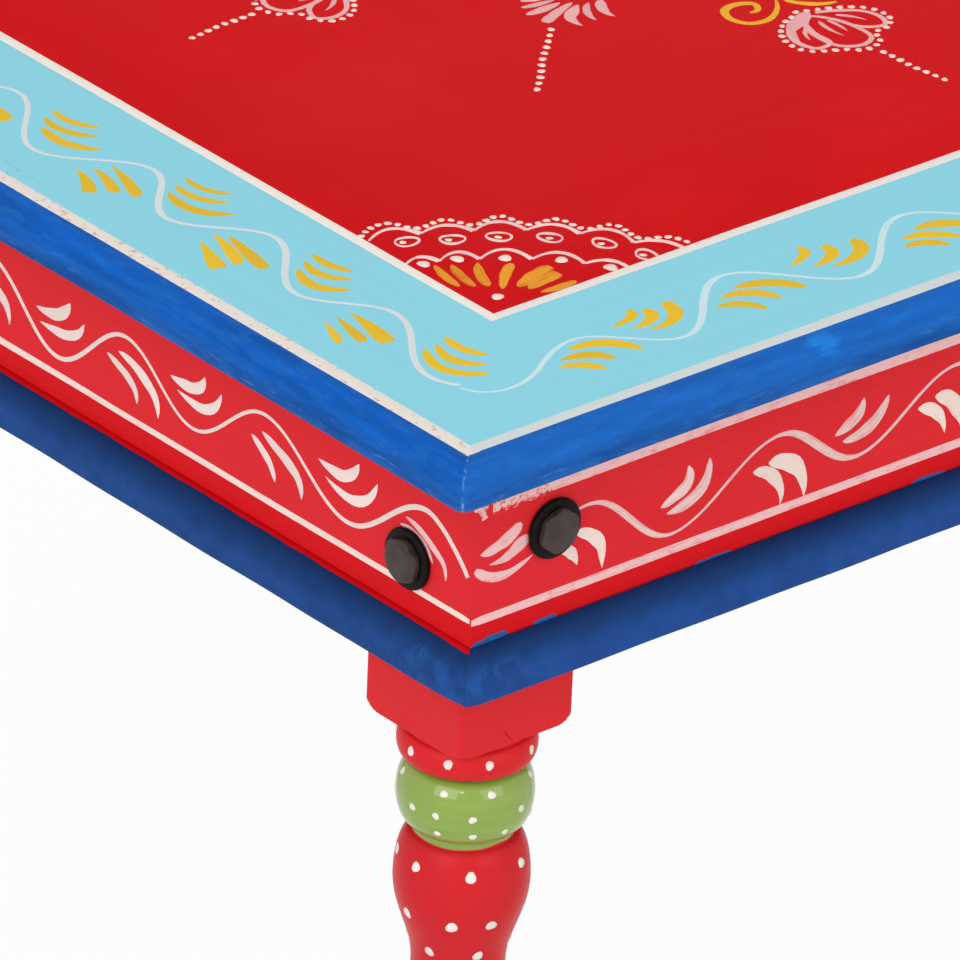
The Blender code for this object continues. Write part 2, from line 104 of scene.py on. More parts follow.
LEFT_INNER_LEAVES = (
    ((66.3, 46.8), (57.7, 45.7), (48.8, 49.6)), ((63.8, 41.0), (51.4, 38.7), (44.1, 45.2)),
    ((63.5, 35.9), (48.7, 32.0), (38.7, 42.0)),
    ((136.4, 49.6), (128.0, 48.9), (119.2, 52.3)), ((133.8, 44.2), (123.4, 42.5), (115.3, 48.5)),
    ((130.8, 38.9), (118.3, 35.7), (109.8, 43.4)),
    ((203.8, 50.9), (195.5, 50.4), (185.5, 55.6)), ((201.5, 44.8), (191.4, 44.4), (181.4, 50.9)),
    ((198.5, 39.8), (185.6, 38.0), (173.6, 46.8)),
    ((268.8, 46.8), (259.0, 46.3), (249.0, 51.6)), ((265.7, 41.1), (253.9, 40.5), (244.9, 46.6)),
    ((260.8, 36.2), (246.9, 34.9), (236.4, 41.5)),
)
LEFT_OUTER_LEAVES = (
    ((98.1, 33.0), (85.0, 31.7), (74.1, 29.3)), ((97.9, 27.6), (87.8, 25.4), (79.2, 23.5)),
    ((97.5, 22.5), (89.4, 19.3), (82.5, 16.4)),
    ((162.2, 35.7), (150.5, 33.3), (137.6, 30.6)), ((166.8, 32.7), (156.5, 30.2), (144.9, 25.7)),
    ((165.5, 26.0), (155.0, 22.0), (146.4, 18.5)),
    ((225.2, 37.1), (213.9, 34.2), (202.0, 29.6)), ((227.6, 31.1), (217.5, 29.2), (208.8, 25.4)),
    ((230.2, 26.1), (220.9, 23.2), (213.7, 18.7)),
)
FRONT_OUTER_LEAVES = (
    ((72.6, 36.3), (85.2, 33.3), (92.5, 22.8)), ((65.9, 32.0), (76.3, 29.5), (81.3, 22.9)),
    ((61.9, 28.5), (69.6, 25.6), (74.1, 19.1)),
    ((144.0, 38.0), (156.6, 34.0), (164.0, 24.7)), ((135.8, 35.0), (147.6, 31.6), (152.4, 23.4)),
    ((130.4, 30.8), (139.5, 27.7), (143.3, 20.3)),
    ((220.1, 35.2), (231.7, 32.5), (239.3, 23.7)), ((211.9, 32.0), (221.6, 29.8), (229.5, 22.1)),
    ((208.8, 27.1), (217.7, 25.4), (222.4, 19.6)),
)
FRONT_INNER_LEAVES = (
    ((102.9, 32.1), (109.5, 31.3), (117.3, 35.6), (119.6, 43.9)),
    ((98.7, 35.8), (105.0, 35.9), (110.6, 39.3), (110.9, 43.7)),
    ((94.0, 40.2), (100.0, 40.7), (105.5, 43.0), (106.6, 46.3)),
    ((180.2, 31.2), (188.7, 30.9), (197.3, 35.4), (199.2, 41.7)),
    ((174.9, 34.5), (181.3, 35.1), (187.7, 38.8), (188.1, 44.0)),
    ((169.1, 39.2), (176.2, 41.1), (180.4, 44.1), (180.7, 47.9)),
)
LEFT_INNER_WIDTHS = (4.2, 4.4, 4.6, 3.8, 4.0, 4.6, 3.0, 3.6, 4.6, 3.3, 3.8, 4.6)
LEFT_OUTER_WIDTHS = (7.0, 4.6, 3.4, 5.4, 5.0, 6.6, 4.8, 4.6, 5.4)
LEFT_OUTER_SWELLS = (
    (0.95, 0.16), (0.9, 0.2), (0.9, 0.3), (0.5, 0.14), (0.7, 0.2), (1.0, 0.12), (0.8, 0.2),
    (0.8, 0.2), (0.9, 0.16),
)
BORDER_SMUDGES = (
    ((249.0, 10.6), (243.8, 10.3), (238.2, 9.2)), ((236.0, 9.6), (232.6, 10.2), (229.0, 9.7)),
    ((242.0, 7.0), (238.8, 4.7), (234.5, 4.9)),
)
SMUDGE_WIDTHS = (2.6, 2.2, 1.6)

# The fan in each corner of the red field, in millimetres from the field's corner. Beads stand off its
# scallops.
SCALLOP_WIDTH, EYE_WIDTH, BEAD_OFFSET, BEAD_GAP = 2.1, 1.75, 4.0, 3.45
FAN_FOOT_DOT = (8.5, 8.1)
FAN_PETALS = (
    ((6.5, 37.2), (4.2, 29.5), (3.2, 20.9)), ((11.1, 34.2), (8.5, 26.5), (7.4, 17.9)),
    ((19.0, 30.5), (14.2, 23.5), (11.2, 15.7)), ((27.4, 23.6), (20.0, 18.0), (13.5, 11.5)),
    ((36.3, 14.7), (27.0, 12.2), (18.5, 9.8)), ((35.4, 9.4), (28.0, 8.4), (20.3, 6.6)),
    ((36.3, 1.9), (29.0, 1.6), (22.0, 2.5)),
)
FAN_PETAL_WIDTHS = (3.5, 3.8, 4.2, 4.0, 6.2, 5.6, 3.6)
FAN_PETAL_SWELLS = (
    (0.45, 0.40), (0.45, 0.40), (0.60, 0.32), (0.22, 0.42), (0.20, 0.42), (0.16, 0.42), (0.24, 0.42),
)
FAN_INNER_DOTS = ((4.1, 39.9), (15.3, 36.3), (28.3, 27.7), (42.3, 16.0), (51.7, 2.5))
FAN_INNER_ENDS = ((-1.0, 43.0), (9.5, 38.5), (21.2, 32.0), (34.9, 22.1), (46.8, 9.6), (56.3, -1.8))
FAN_INNER_TOPS = ((7.2, 44.1), (19.1, 39.8), (32.4, 32.6), (45.1, 20.7), (54.4, 7.1))
FAN_EYES = ((9.5, 55.6), (22.7, 48.2), (37.1, 40.3), (50.1, 29.9), (61.2, 17.0), (67.0, 2.9))
FAN_OUTER_ENDS = (
    (0.5, 63.2), (17.5, 57.3), (32.9, 48.8), (47.1, 39.1), (59.5, 26.9), (69.6, 11.7), (80.2, -1.3),
)
FAN_OUTER_TOPS = ((12.9, 65.2), (28.7, 56.8), (43.9, 49.0), (56.9, 37.2), (68.7, 24.3), (77.4, 7.7))

# The lotus of the medallion, in millimetres from the middle of the top; it repeats on all four sides.
LOTUS_PETALS = (
    ((-0.2, -122.2), (-8.4, -123.6), (-12.2, -131.9), (-9.9, -139.6), (-3.7, -139.2),
     (-2.7, -130.2), (-0.2, -122.2)),
    ((5.0, -119.0), (-2.0, -125.0), (-4.0, -132.7), (-2.2, -142.7), (4.7, -146.4), (10.3, -144.4),
     (11.9, -133.3), (8.8, -123.8), (5.0, -119.0)),
    ((8.0, -118.2), (16.4, -121.8), (22.8, -127.6), (24.0, -134.6), (21.4, -138.9),
     (15.8, -137.3), (11.1, -130.3)),
)
LOTUS_VEINS = (
    ((-2.5, -125.5), (-6.0, -129.0), (-7.5, -133.5)), ((4.6, -124.0), (3.4, -130.0), (4.3, -137.5)),
    ((7.6, -125.0), (8.0, -130.0), (7.4, -135.5)), ((12.5, -123.5), (16.5, -128.0), (18.6, -132.8)),
)
LOTUS_FILL = (
    ((6.5, -116.4), (1.5, -118.6), (-3.0, -121.4), (-7.0, -124.6)),
    ((0.5, -117.4), (-5.6, -121.4), (-10.0, -126.9), (-12.6, -133.0), (-12.3, -137.4)),
)
LOTUS_SHIFT = (1.5, 6.5)  # of the flowers on the left and right
LOTUS_OUTLINE = (
    (2.9, -114.1), (12.1, -117.5), (19.5, -120.9), (25.5, -126.6), (26.3, -135.6), (20.5, -140.7),
    (15.0, -141.4), (11.3, -147.5), (2.5, -149.6), (-3.2, -145.4), (-9.1, -142.6), (-14.7, -138.1),
    (-15.0, -129.1), (-9.6, -120.8), (-1.0, -116.2),
)
LOTUS_TAIL = ((6.4, -154.7), (6.8, -161.3), (6.9, -169.1), (8.2, -177.2), (8.9, -182.5))
PALMETTE = (
    ((-67.3, -52.6), (-64.6, -54.0), (-61.5, -55.1), (-57.6, -55.9)),
    ((-70.6, -57.0), (-66.3, -58.0), (-61.6, -58.5), (-57.3, -58.9)),
    ((-72.9, -62.2), (-68.4, -62.4), (-63.0, -62.1), (-57.2, -61.6)),
    ((-71.6, -70.5), (-66.0, -68.0), (-58.9, -65.4), (-54.0, -64.0)),
    ((-62.8, -80.0), (-63.2, -76.7), (-62.2, -72.6), (-58.3, -69.5), (-53.5, -66.5)),
    ((-56.2, -79.5), (-55.9, -75.7), (-53.8, -71.3), (-49.4, -67.3)),
    ((-49.1, -80.8), (-49.6, -76.9), (-47.8, -71.9), (-44.2, -67.8)),
)
PALMETTE_WIDTHS = (3.0, 2.8, 3.9, 4.2, 4.6, 3.0, 4.2)
PALMETTE_SWELLS = ((0.4, 0.7), (0.4, 0.7), (0.5, 0.7), (0.16, 0.5), (0.9, 0.7), (0.9, 0.7), (0.9, 0.6))
SPRAY_TAIL = ((-73.5, -75.9), (-82.0, -84.0), (-91.0, -92.0), (-99.0, -100.5), (-107.3, -108.3))
SCROLLS = (
    ((-10.0, -105.3), (-6.6, -105.3), (-4.3, -100.8), (-8.6, -97.8), (-15.8, -98.8),
     (-18.6, -105.3), (-15.9, -111.4), (-9.4, -113.1), (-1.3, -109.1), (3.7, -102.9)),
    ((6.2, -104.6), (9.5, -110.0), (14.1, -114.0), (20.0, -115.8)),
)

# The rosette in the middle: radii of its hoops and rings of dots, and one leaf, as (place across, distance
# from its foot), with its foot at a reach from the middle.
HOOP_RADII, DOT_RING_RADII, ROSETTE_REACH = (38.0, 30.0), (46.0, 10.0), 16.0
ROSETTE_LEAF = ((0.0, 0.0), (7.2, 10.0), (5.9, 21.3), (0.0, 30.0), (-5.9, 21.3), (-7.2, 10.0), (0.0, 0.0))

# Ornament on the rails, in millimetres: (distance along from the near corner, height over the rail's lower
# edge).
RAIL_LENGTH, RAIL_VINE_END = 518.0, 505.0
LEFT_RAIL_VINE_STEP, FRONT_RAIL_VINE_STEP = 37.5, 39.8
LEFT_RAIL_VINE_START = ((2.3, 24.6), (9.6, 32.1), (16.5, 37.3))
LEFT_RAIL_VINE_TURNS = (
    (23.4, 39.8), (62.5, 18.7), (105.8, 39.7), (142.2, 19.1), (178.0, 38.0), (213.7, 15.7), (251.0, 38.5),
)
FRONT_RAIL_VINE_START = ((37.0, 34.5), (42.0, 36.2))
FRONT_RAIL_VINE_TURNS = ((49.0, 37.0), (84.5, 14.7), (131.0, 36.8), (165.0, 18.3), (208.5, 39.1))
LEFT_RAIL_UPPER_LEAVES = (
    ((78.0, 35.4), (72.0, 34.3), (65.0, 34.5), (60.0, 37.9), (57.8, 41.9)),
    ((74.3, 30.5), (68.2, 28.4), (60.3, 27.7), (53.5, 30.6), (48.3, 38.6)),
    ((154.4, 33.7), (147.7, 33.3), (141.9, 34.0), (137.9, 36.8), (136.8, 40.2)),
    ((150.7, 30.0), (144.2, 28.6), (136.7, 28.5), (131.0, 31.8), (128.0, 37.5)),
    ((225.5, 29.9), (219.3, 30.0), (213.4, 31.6), (209.2, 35.1), (207.6, 38.1)),
    ((223.4, 25.0), (216.6, 24.9), (208.9, 25.7), (202.2, 29.4), (200.0, 33.4)),
)
LEFT_RAIL_CORNER_LEAVES = (
    ((33.7, 33.2), (26.7, 31.5), (19.6, 27.7), (14.2, 23.8), (13.1, 18.7)),
    ((36.5, 29.5), (29.2, 29.2), (23.0, 26.3), (19.7, 22.0)),
)
LEFT_RAIL_LOWER_LEAVES = (
    ((106.8, 33.1), (100.0, 30.3), (92.8, 27.1), (87.8, 23.5), (85.9, 17.0)),
    ((112.1, 29.9), (106.9, 26.7), (102.3, 23.0), (99.6, 17.5)),
    ((181.6, 31.2), (174.4, 29.8), (166.6, 25.9), (162.3, 22.4), (160.3, 15.3)),
    ((187.6, 28.3), (181.8, 26.1), (175.8, 23.3), (172.3, 20.0), (171.5, 15.9)),
)
FRONT_RAIL_CORNER_LEAVES = (
    ((2.9, 32.7), (9.2, 33.5), (15.9, 36.2), (19.8, 39.2)),
    ((6.7, 28.1), (14.0, 28.7), (19.8, 31.7), (23.5, 33.2)),
    ((0.9, 27.7), (6.7, 23.7), (14.3, 22.4), (21.0, 24.2), (25.4, 26.1)),
)
FRONT_RAIL_UPPER_LEAVES = (
    ((79.7, 25.9), (85.3, 28.0), (91.3, 31.8), (90.9, 37.8)),
    ((82.4, 22.9), (90.2, 23.9), (97.6, 28.1), (100.1, 37.8)),
    ((155.2, 28.9), (159.8, 30.7), (165.4, 34.2), (167.2, 39.2)),
    ((158.7, 25.6), (166.0, 26.1), (173.0, 29.4), (178.3, 37.0)),
)
FRONT_RAIL_LOWER_LEAVES = (
    ((43.4, 28.2), (50.4, 25.0), (54.5, 20.1), (55.1, 16.0), (55.3, 11.6)),
    ((36.4, 24.8), (42.3, 20.7), (44.5, 16.1)),
    ((126.3, 27.7), (132.5, 26.6), (139.3, 22.1), (141.8, 17.0), (142.6, 10.3)),
    ((119.6, 26.4), (125.4, 24.6), (130.8, 19.2), (132.6, 14.4), (132.1, 10.5)),
    ((199.5, 29.9), (205.6, 27.4), (210.5, 21.6), (213.0, 16.5), (213.6, 11.4)),
    ((192.0, 27.6), (198.4, 25.3), (203.0, 20.4), (204.6, 14.8)),
)
FRONT_RAIL_LOWER_WIDTHS = (5.0, 4.4, 6.4, 4.8, 6.4, 4.8)
RAIL_CORNER_DABS = (
    ((-0.2, 50.2), (2.2, 49.8), (5.4, 49.4)),
    ((2.6, 50.2), (3.6, 47.4), (4.2, 45.4)),
    ((7.4, 48.6), (20.0, 48.9), (33.0, 49.4)),
)
RAIL_CORNER_END = (((-0.1, 50.0), (1.2, 50.5), (2.6, 51.2)),)
RAIL_FOOT_SMEARS = (
    ((0.2, -0.2), (7.0, 0.2), (16.0, 0.6)), ((27.0, -0.2), (31.0, 0.2), (36.5, 0.0)),
    ((96.0, -0.3), (103.0, 0.0), (112.0, -0.3)), ((191.0, -0.3), (198.0, 0.1), (206.0, -0.3)),
    ((330.0, -0.3), (340.0, 0.1), (352.0, -0.3)), ((455.0, -0.3), (463.0, 0.2), (474.0, -0.2)),
)
RAIL_SMEAR_WIDTHS = (3.0, 2.2, 1.4, 1.6, 1.5, 1.8)
RAIL_LINE_STARTS = {"left": (0.6, 14.0), "front": (0.2, 31.0)}
RAIL_LINE_HEIGHTS = {"left": (9.3, 49.6), "front": (8.8, 49.6)}
RAIL_LINE_WIDTHS = {"left": (2.6, 4.0), "front": (3.6, 5.6)}

# The leg, in metres: its block's foot, the height and end radius of the block's rounded shoulders, the
# rounding of the block's arrises, the neck under it, and the lower and upper edges of the green paint on
# the balls.
BLOCK_FOOT, SHOULDER_HEIGHT, SHOULDER_RADIUS = 0.2574, 0.0055, 0.030
BLOCK_ARRIS, NECK_RADII = 0.0009, (0.0212, 0.0208)
GREEN_BANDS = ((0.2152, 0.2427), (0.0680, 0.0952))
# A crack in the near leg's block, in millimetres: (place across the table, height).
BLOCK_CRACK = (((-230.4, 263.8), (-228.0, 260.6), (-226.4, 258.6)),)
# Rows of white dots: height and dot diameter in millimetres, then the angles round the near leg in degrees.
# A dot's radius is a share of the diameter, and on the other legs the dots stray a little, in metres.
DOT_RADIUS_SHARE, DOT_STRAY = 0.46, 0.0006
LEG_DOT_ROWS = (
    (250.2, 3.5, (177, 214, 248, 294, 334, 14, 54, 96, 137)),
    (238.0, 3.2, (154, 210, 253, 308, 0, 52, 103)),
    (230.0, 2.9, (181, 205, 236, 283, 330, 15, 60, 105, 145)),
    (223.1, 2.7, (206, 237, 267, 310, 355, 40, 85, 130)),
    (207.6, 4.3, (148, 185, 237, 292, 345, 40, 95)),
    (188.4, 4.3, (175, 222, 258, 305, 350, 35, 80, 130)),
    (175.0, 4.1, (195, 251, 305, 0, 55, 105, 150)),
    (158.0, 3.8, (165, 225, 285, 345, 45, 105)),
    (142.5, 3.6, (195, 255, 315, 15, 75, 135)),
    (127.0, 3.5, (165, 225, 285, 345, 45, 105)),
    (113.5, 3.3, (195, 255, 315, 15, 75, 135)),
    (100.4, 3.0, (170, 215, 260, 305, 350, 35, 80, 125)),
    (88.0, 3.1, (190, 235, 280, 325, 10, 55, 100, 145)),
    (77.5, 2.9, (170, 215, 260, 305, 350, 35, 80, 125)),
    (56.0, 3.5, (185, 245, 305, 5, 65, 125)),
    (36.0, 3.4, (155, 215, 275, 335, 35, 95)),
)

# A bolt's radii from its tip out to its face, its head's height and its washer's inner radius, in metres.
# The head's hexagon is turned by some degrees, and its corners are the sharper the greater the power.
BOLT_RADII = (0.0042, 0.0048, 0.0048, 0.0079, 0.0081, 0.0081, 0.0078, 0.0073, 0.0068, 0.004)
HEAD_HEIGHT, WASHER_BORE = 0.0022, 0.0053
HEAD_TURN, HEAD_POWER = 10, 26


def paint_property(name, description, colour):
    """A colour property, written as it looks on a screen, from 0 to 255."""
    default = tuple(part / 255 for part in colour)
    return FloatVectorProperty(
        name=name, description=description, subtype="COLOR_GAMMA", size=3, min=0, max=1, default=default
    )


def length_property(name, description, default):
    """A length property in metres."""
    return FloatProperty(
        name=name, description=description, default=default, min=0, precision=5, unit="LENGTH"
    )


class TableSizes(bpy.types.PropertyGroup):
    """Sizes of the fine surfaces and of the paint on them."""

    edge_round: length_property("Edge round", "Radius of the top board's upper edge", 0.008)
    under_round: length_property("Under round", "Radius of the top board's lower edge", 0.003)
    corner_round: length_property("Corner round", "Radius of the top board's corners, seen from above", 0.004)
    line_inset: length_property("Line inset", "From the board's edge to the outer white line", 0.010)
    band_width: length_property("Band width", "From the outer line's outer edge to the red field", 0.070)
    paint_lift: length_property("Paint lift", "Height of a full brush stroke over the surface", 0.00008)
    dot_lift: length_property("Dot lift", "Height of a dot of paint over the surface", 0.00028)
    moulding_reach: length_property("Moulding reach", "How far the moulding stands out from the rail", 0.007)
    moulding_round: length_property("Moulding round", "Height of the moulding's rounded part", 0.011)
    moulding_arris: length_property("Moulding arris", "Softening of the moulding's lower edge", 0.0012)
    corner_wear: length_property("Corner wear", "How far the moulding's corners are worn back", 0.0018)
    block_side: length_property("Block side", "Width of the leg's square block", 0.048)
    washer_radius: length_property("Washer radius", "Radius of the washers", 0.0106)
    head_flats: length_property("Bolt head", "Width of the bolt heads across their flats", 0.0148)


class TablePaints(bpy.types.PropertyGroup):
    """Colours of the paints, metal and wood."""

    red: paint_property("Top red", "Red of the top's middle field", (205, 11, 18))
    rail_red: paint_property("Rail red", "Red of the rails", (216, 40, 47))
    leg_red: paint_property("Leg red", "Red of the legs", (212, 36, 42))
    deep_red: paint_property("Deep red", "Red of the rails' second coat low down", (206, 14, 22))
    pale_blue: paint_property("Pale blue", "Pale blue of the border", (139, 207, 223))
    edge_blue: paint_property("Edge blue", "Blue of the board's edge", (19, 89, 177))
    moulding_blue: paint_property("Moulding blue", "Blue of the moulding", (28, 67, 130))
    green: paint_property("Green", "Green of the turned balls", (132, 160, 66))
    cream: paint_property("Cream", "White of the lines and dots on the top", (233, 224, 214))
    lotus_pink: paint_property("Lotus pink", "Thin pinkish white of the medallion's flowers", (230, 172, 170))
    cool_white: paint_property("Cool white", "Greyer white of the border's front outer line", (203, 211, 210))
    rail_white: paint_property("Rail white", "White of the strokes on the rails", (236, 214, 208))
    yellow: paint_property("Yellow", "Yellow of the border leaves", (224, 184, 44))
    orange: paint_property("Orange", "Orange yellow of the fan's petals", (224, 150, 36))
    black: paint_property("Black steel", "Blackened bolts and washers", (52, 43, 41))
    zinc: paint_property("Zinc", "Plated inserts and screws", (176, 180, 184))
    wood: paint_property("Bare wood", "Unpainted wood under the top", (176, 132, 86))


# Surfaces

def loft(name, rings, ends=True, stroke=None, crease=60):
    """A mesh of one or more bodies, each given as rings of points.

    Rings (bodies, rings, points, xyz) are closed round, each is joined to the next by quads, and the first
    and last are closed by fans to their middle point, or joined to each other. A body whose volume is
    negative is turned out.
    """
    rings = np.asarray(rings, float)
    bodies, count, around, _ = rings.shape
    points = rings.reshape(bodies, count * around, 3)
    row, column = np.meshgrid(np.arange(count - 1 if ends else count), np.arange(around), indexing="ij")
    below, after = (row + 1) % count, (column + 1) % around
    corners = (row * around + column, row * around + after, below * around + after, below * around + column)
    quads = np.stack(corners, -1).reshape(-1, 4)
    fans = np.empty((0, 3), int)
    if ends:
        points = np.concatenate([points, rings[:, 0].mean(1)[:, None], rings[:, -1].mean(1)[:, None]], 1)
        start, end = count * around, count * around + 1
        turn = np.arange(around)
        after = (turn + 1) % around
        last = (count - 1) * around
        fans = np.concatenate([
            np.stack([np.full(around, start), after, turn], -1),
            np.stack([np.full(around, end), last + turn, last + after], -1),
        ])
    triangles = np.concatenate([quads[:, :3], quads[:, [0, 2, 3]], fans])
    corner = points[:, triangles] - points.mean(1)[:, None, None]
    volume = np.einsum("bti,bti->b", corner[:, :, 0], np.cross(corner[:, :, 1], corner[:, :, 2]))
    offsets = np.arange(bodies) * points.shape[1]
    inside_out = volume < 0
    facing_out = np.where(inside_out[:, None, None], quads[:, ::-1][None], quads[None])
    all_quads = facing_out + offsets[:, None, None]
    all_fans = np.where(inside_out[:, None, None], fans[:, ::-1][None], fans[None]) + offsets[:, None, None]
    mesh = bpy.data.meshes.new(name)
    faces = all_quads.reshape(-1, 4).tolist() + all_fans.reshape(-1, 3).tolist()
    mesh.from_pydata(points.reshape(-1, 3).tolist(), [], faces)
    mesh.polygons.foreach_set("use_smooth", np.ones(len(mesh.polygons), bool))
    mesh.set_sharp_from_angle(angle=math.radians(crease))
    if stroke is not None:
        values = np.asarray(stroke, float).reshape(bodies, count * around, 3)
        if ends:
            values = np.concatenate([values, values[:, :1], values[:, -1:]], 1)
        attribute = mesh.attributes.new("stroke", "FLOAT_VECTOR", "POINT")
        attribute.data.foreach_set("vector", values.astype(np.float32).ravel())
    mesh.update()
    return mesh


def rounded_squares(half, radius, sides, corners):
    """Rings (rings, points, xy) of squares with rounded corners: arcs joined by straight runs of points."""
    half, radius = np.broadcast_arrays(np.asarray(half, float), np.asarray(radius, float))
    middle = np.array([(1, 1), (-1, 1), (-1, -1), (1, -1)])
    angle = np.arange(4)[:, None] * np.pi / 2 + np.linspace(0, np.pi / 2, corners)
    ray = np.stack([np.cos(angle), np.sin(angle)], -1)
    arcs = middle[:, None] * (half - radius)[:, None, None, None] + ray * radius[:, None, None, None]
    share = np.linspace(0, 1, sides + 2)[1:-1, None]
    start, end = arcs[:, :, -1:], np.roll(arcs, -1, 1)[:, :, :1]
    runs = start + (end - start) * share
    return np.concatenate([arcs, runs], 2).reshape(len(half), -1, 2)


def at_levels(flat, level):
    """Rings (rings, points, xyz) from flat ones and a level for each."""
    return np.concatenate([flat, np.broadcast_to(level[:, None, None], flat.shape[:2] + (1,))], -1)


def travelled(points):
    """Distance along each path at each of its points."""
    steps = np.linalg.norm(np.diff(points, axis=-2), axis=-1)
    return np.concatenate([np.zeros(steps.shape[:-1] + (1,)), np.cumsum(steps, axis=-1)], -1)


def smooth_path(points, count):
    """Points along a curve through the given ones: cubics between them, with slopes from the neighbours."""
    given = np.asarray(points, float)
    length = travelled(given)
    slope = np.gradient(given, length, axis=0, edge_order=2 if len(given) > 2 else 1)
    at = np.linspace(0, length[-1], count)
    i = np.clip(np.searchsorted(length, at, side="right") - 1, 0, len(given) - 2)
    gap = (length[i + 1] - length[i])[:, None]
    u = (at - length[i])[:, None] / gap
    start = (1 + 2 * u) * (1 - u) ** 2 * given[i] + u * (1 - u) ** 2 * gap * slope[i]
    return start + u * u * (3 - 2 * u) * given[i + 1] + u * u * (u - 1) * gap * slope[i + 1]


def wave_turns(turns, step, length):
    """The turning points of a vine, carried on at an even step and between the same levels."""
    turns = np.asarray(turns, float)
    more = np.arange(turns[-1, 0] + step, length, step)
    levels = np.where(np.arange(len(more)) % 2 == 0, turns[-2, 1], turns[-1, 1])
    return np.concatenate([turns, np.stack([more, levels], -1)])


def wave_path(start, turns, count):
    """A vine: its first points, then cosine easings from each turning point to the next."""
    share = np.linspace(0, 1, 9)[:-1]
    ease = (1 - np.cos(np.pi * share)) / 2
    along = turns[:-1, :1] + (turns[1:, :1] - turns[:-1, :1]) * share
    level = turns[:-1, 1:] + (turns[1:, 1:] - turns[:-1, 1:]) * ease
    wave = np.stack([along.ravel(), level.ravel()], -1)
    return smooth_path(np.concatenate([np.asarray(start, float), wave, turns[-1:]]), count)


def carried_on(strokes, per_group, anchors, places):
    """Groups of strokes at their own anchors, then again in turn at each further place along the side."""
    made = [list(stroke) for stroke in strokes]
    groups = len(strokes) // per_group
    for number, place in enumerate(places):
        group = number % groups
        shift = np.array([place - anchors[group], 0.0])
        again = strokes[group * per_group:(group + 1) * per_group]
        made += [list(np.asarray(stroke) + shift) for stroke in again]
    return made


# The section of a brush stroke, across and over the face, and the rings of a dab of paint from its foot up.
STROKE_ACROSS = np.array([-1.0, -0.62, 0.0, 0.62, 1.0, 0.0])
STROKE_HEIGHT = np.array([-0.12, 0.74, 1.0, 0.74, -0.12, -0.7])
DAB_REACH = np.array([1.0, 0.9, 0.45])
DAB_HEIGHT = np.array([-0.55, 0.55, 1.0])


def brushed(paths, widths, swells, lift, seed, count=12, waver=0.05, nib=None, heavy=None):
    """Rings and stroke values of brush strokes, in millimetres along, across and over a flat face.

    A stroke follows its path. Its width at share u is u^a (1-u)^b, scaled to the given greatest width, with a
    small waver, and its section is a low dome with a closed underside. A nib is a direction in degrees and a
    share: the stroke thins to that share where it runs in that direction. Heavy is a factor and a length: the
    stroke starts wider by the factor, which dies away over the length. The values are distance along, place
    across and a number of its own for each stroke.
    """
    rng = np.random.default_rng(seed)
    middle = np.stack([smooth_path(path, count) for path in paths])
    bodies = len(middle)
    u = np.linspace(0, 1, count)[None, :]
    a, b = np.asarray(swells, float).reshape(-1, 2).T[:, :, None]
    peak = (a / (a + b)) ** a * (b / (a + b)) ** b
    form = np.clip(u, 0.004, 1) ** a * np.clip(1 - u, 0.004, 1) ** b
    width = np.broadcast_to(np.asarray(widths, float).reshape(-1, 1) * form / peak, (bodies, count))
    phase = rng.uniform(0, 2 * np.pi, (2, bodies, 1))
    width = width * (1 + waver * (np.sin(7 * u + phase[0]) + np.sin(17 * u + phase[1])) / 2)
    tangent = np.gradient(middle, axis=1)
    tangent /= np.linalg.norm(tangent, axis=2, keepdims=True)
    if nib:
        turned = np.arctan2(tangent[..., 1], tangent[..., 0]) - math.radians(nib[0])
        width = width * (nib[1] + (1 - nib[1]) * np.sin(turned) ** 2)
    run = travelled(middle)
    if heavy:
        width = width * (1 + (heavy[0] - 1) * np.exp(-run / heavy[1]))
    normal = np.stack([-tangent[..., 1], tangent[..., 0]], -1)
    flat = middle[:, :, None] + normal[:, :, None] * (width / 2)[:, :, None, None] * STROKE_ACROSS[:, None]
    full = np.clip(width / width.max(1, keepdims=True), 0.25, 1)
    height = lift * 1000 * full[:, :, None] * STROKE_HEIGHT
    rings = np.concatenate([flat, height[..., None]], -1)
    own = rng.uniform(0, 1, (bodies, 1, 1))
    values = np.stack(np.broadcast_arrays(run[:, :, None], STROKE_ACROSS, own), -1)
    return rings, values


def laid(rings, origin, along, across, out):
    """Rings in millimetres put on a flat face that starts at the origin, in metres."""
    return np.asarray(origin, float) + rings / 1000 @ np.array([along, across, out], float)


def quarter_turned(rings, times):
    """The same rings after quarter turns about the table's upright axis."""
    turn = times * math.pi / 2
    matrix = np.round([[math.cos(turn), -math.sin(turn), 0], [math.sin(turn), math.cos(turn), 0], [0, 0, 1]])
    return rings @ matrix.T


def dabs(middles, right, up, out, radii, lift, seed, stretch=1.0):
    """Rings and stroke values of round dabs of paint: low uneven domes, sunk a little at their foot."""
    rng = np.random.default_rng(seed)
    middles = np.asarray(middles, float)
    bodies = len(middles)
    turn = np.arange(10) * np.pi / 5
    phase = rng.uniform(0, 2 * np.pi, (2, bodies, 1))
    wobble = 1 + 0.09 * np.sin(2 * turn + phase[0]) + 0.08 * np.sin(3 * turn + phase[1])
    size = np.asarray(radii, float).reshape(-1, 1) * rng.uniform(0.9, 1.1, (bodies, 1))
    reach = (size * wobble)[:, None, :] * DAB_REACH[:, None]
    axes = (np.broadcast_to(np.asarray(axis, float), (bodies, 3)) for axis in (right, up, out))
    right, up, out = (axis[:, None, None] for axis in axes)
    rings = middles[:, None, None] + (reach * np.cos(turn) * stretch)[..., None] * right
    rings = rings + (reach * np.sin(turn))[..., None] * up + (lift * DAB_HEIGHT)[None, :, None, None] * out
    own = rng.uniform(0, 1, (bodies, 1, 1))
    values = np.stack(np.broadcast_arrays(reach * 1000, DAB_REACH[:, None], own), -1)
    return rings, values


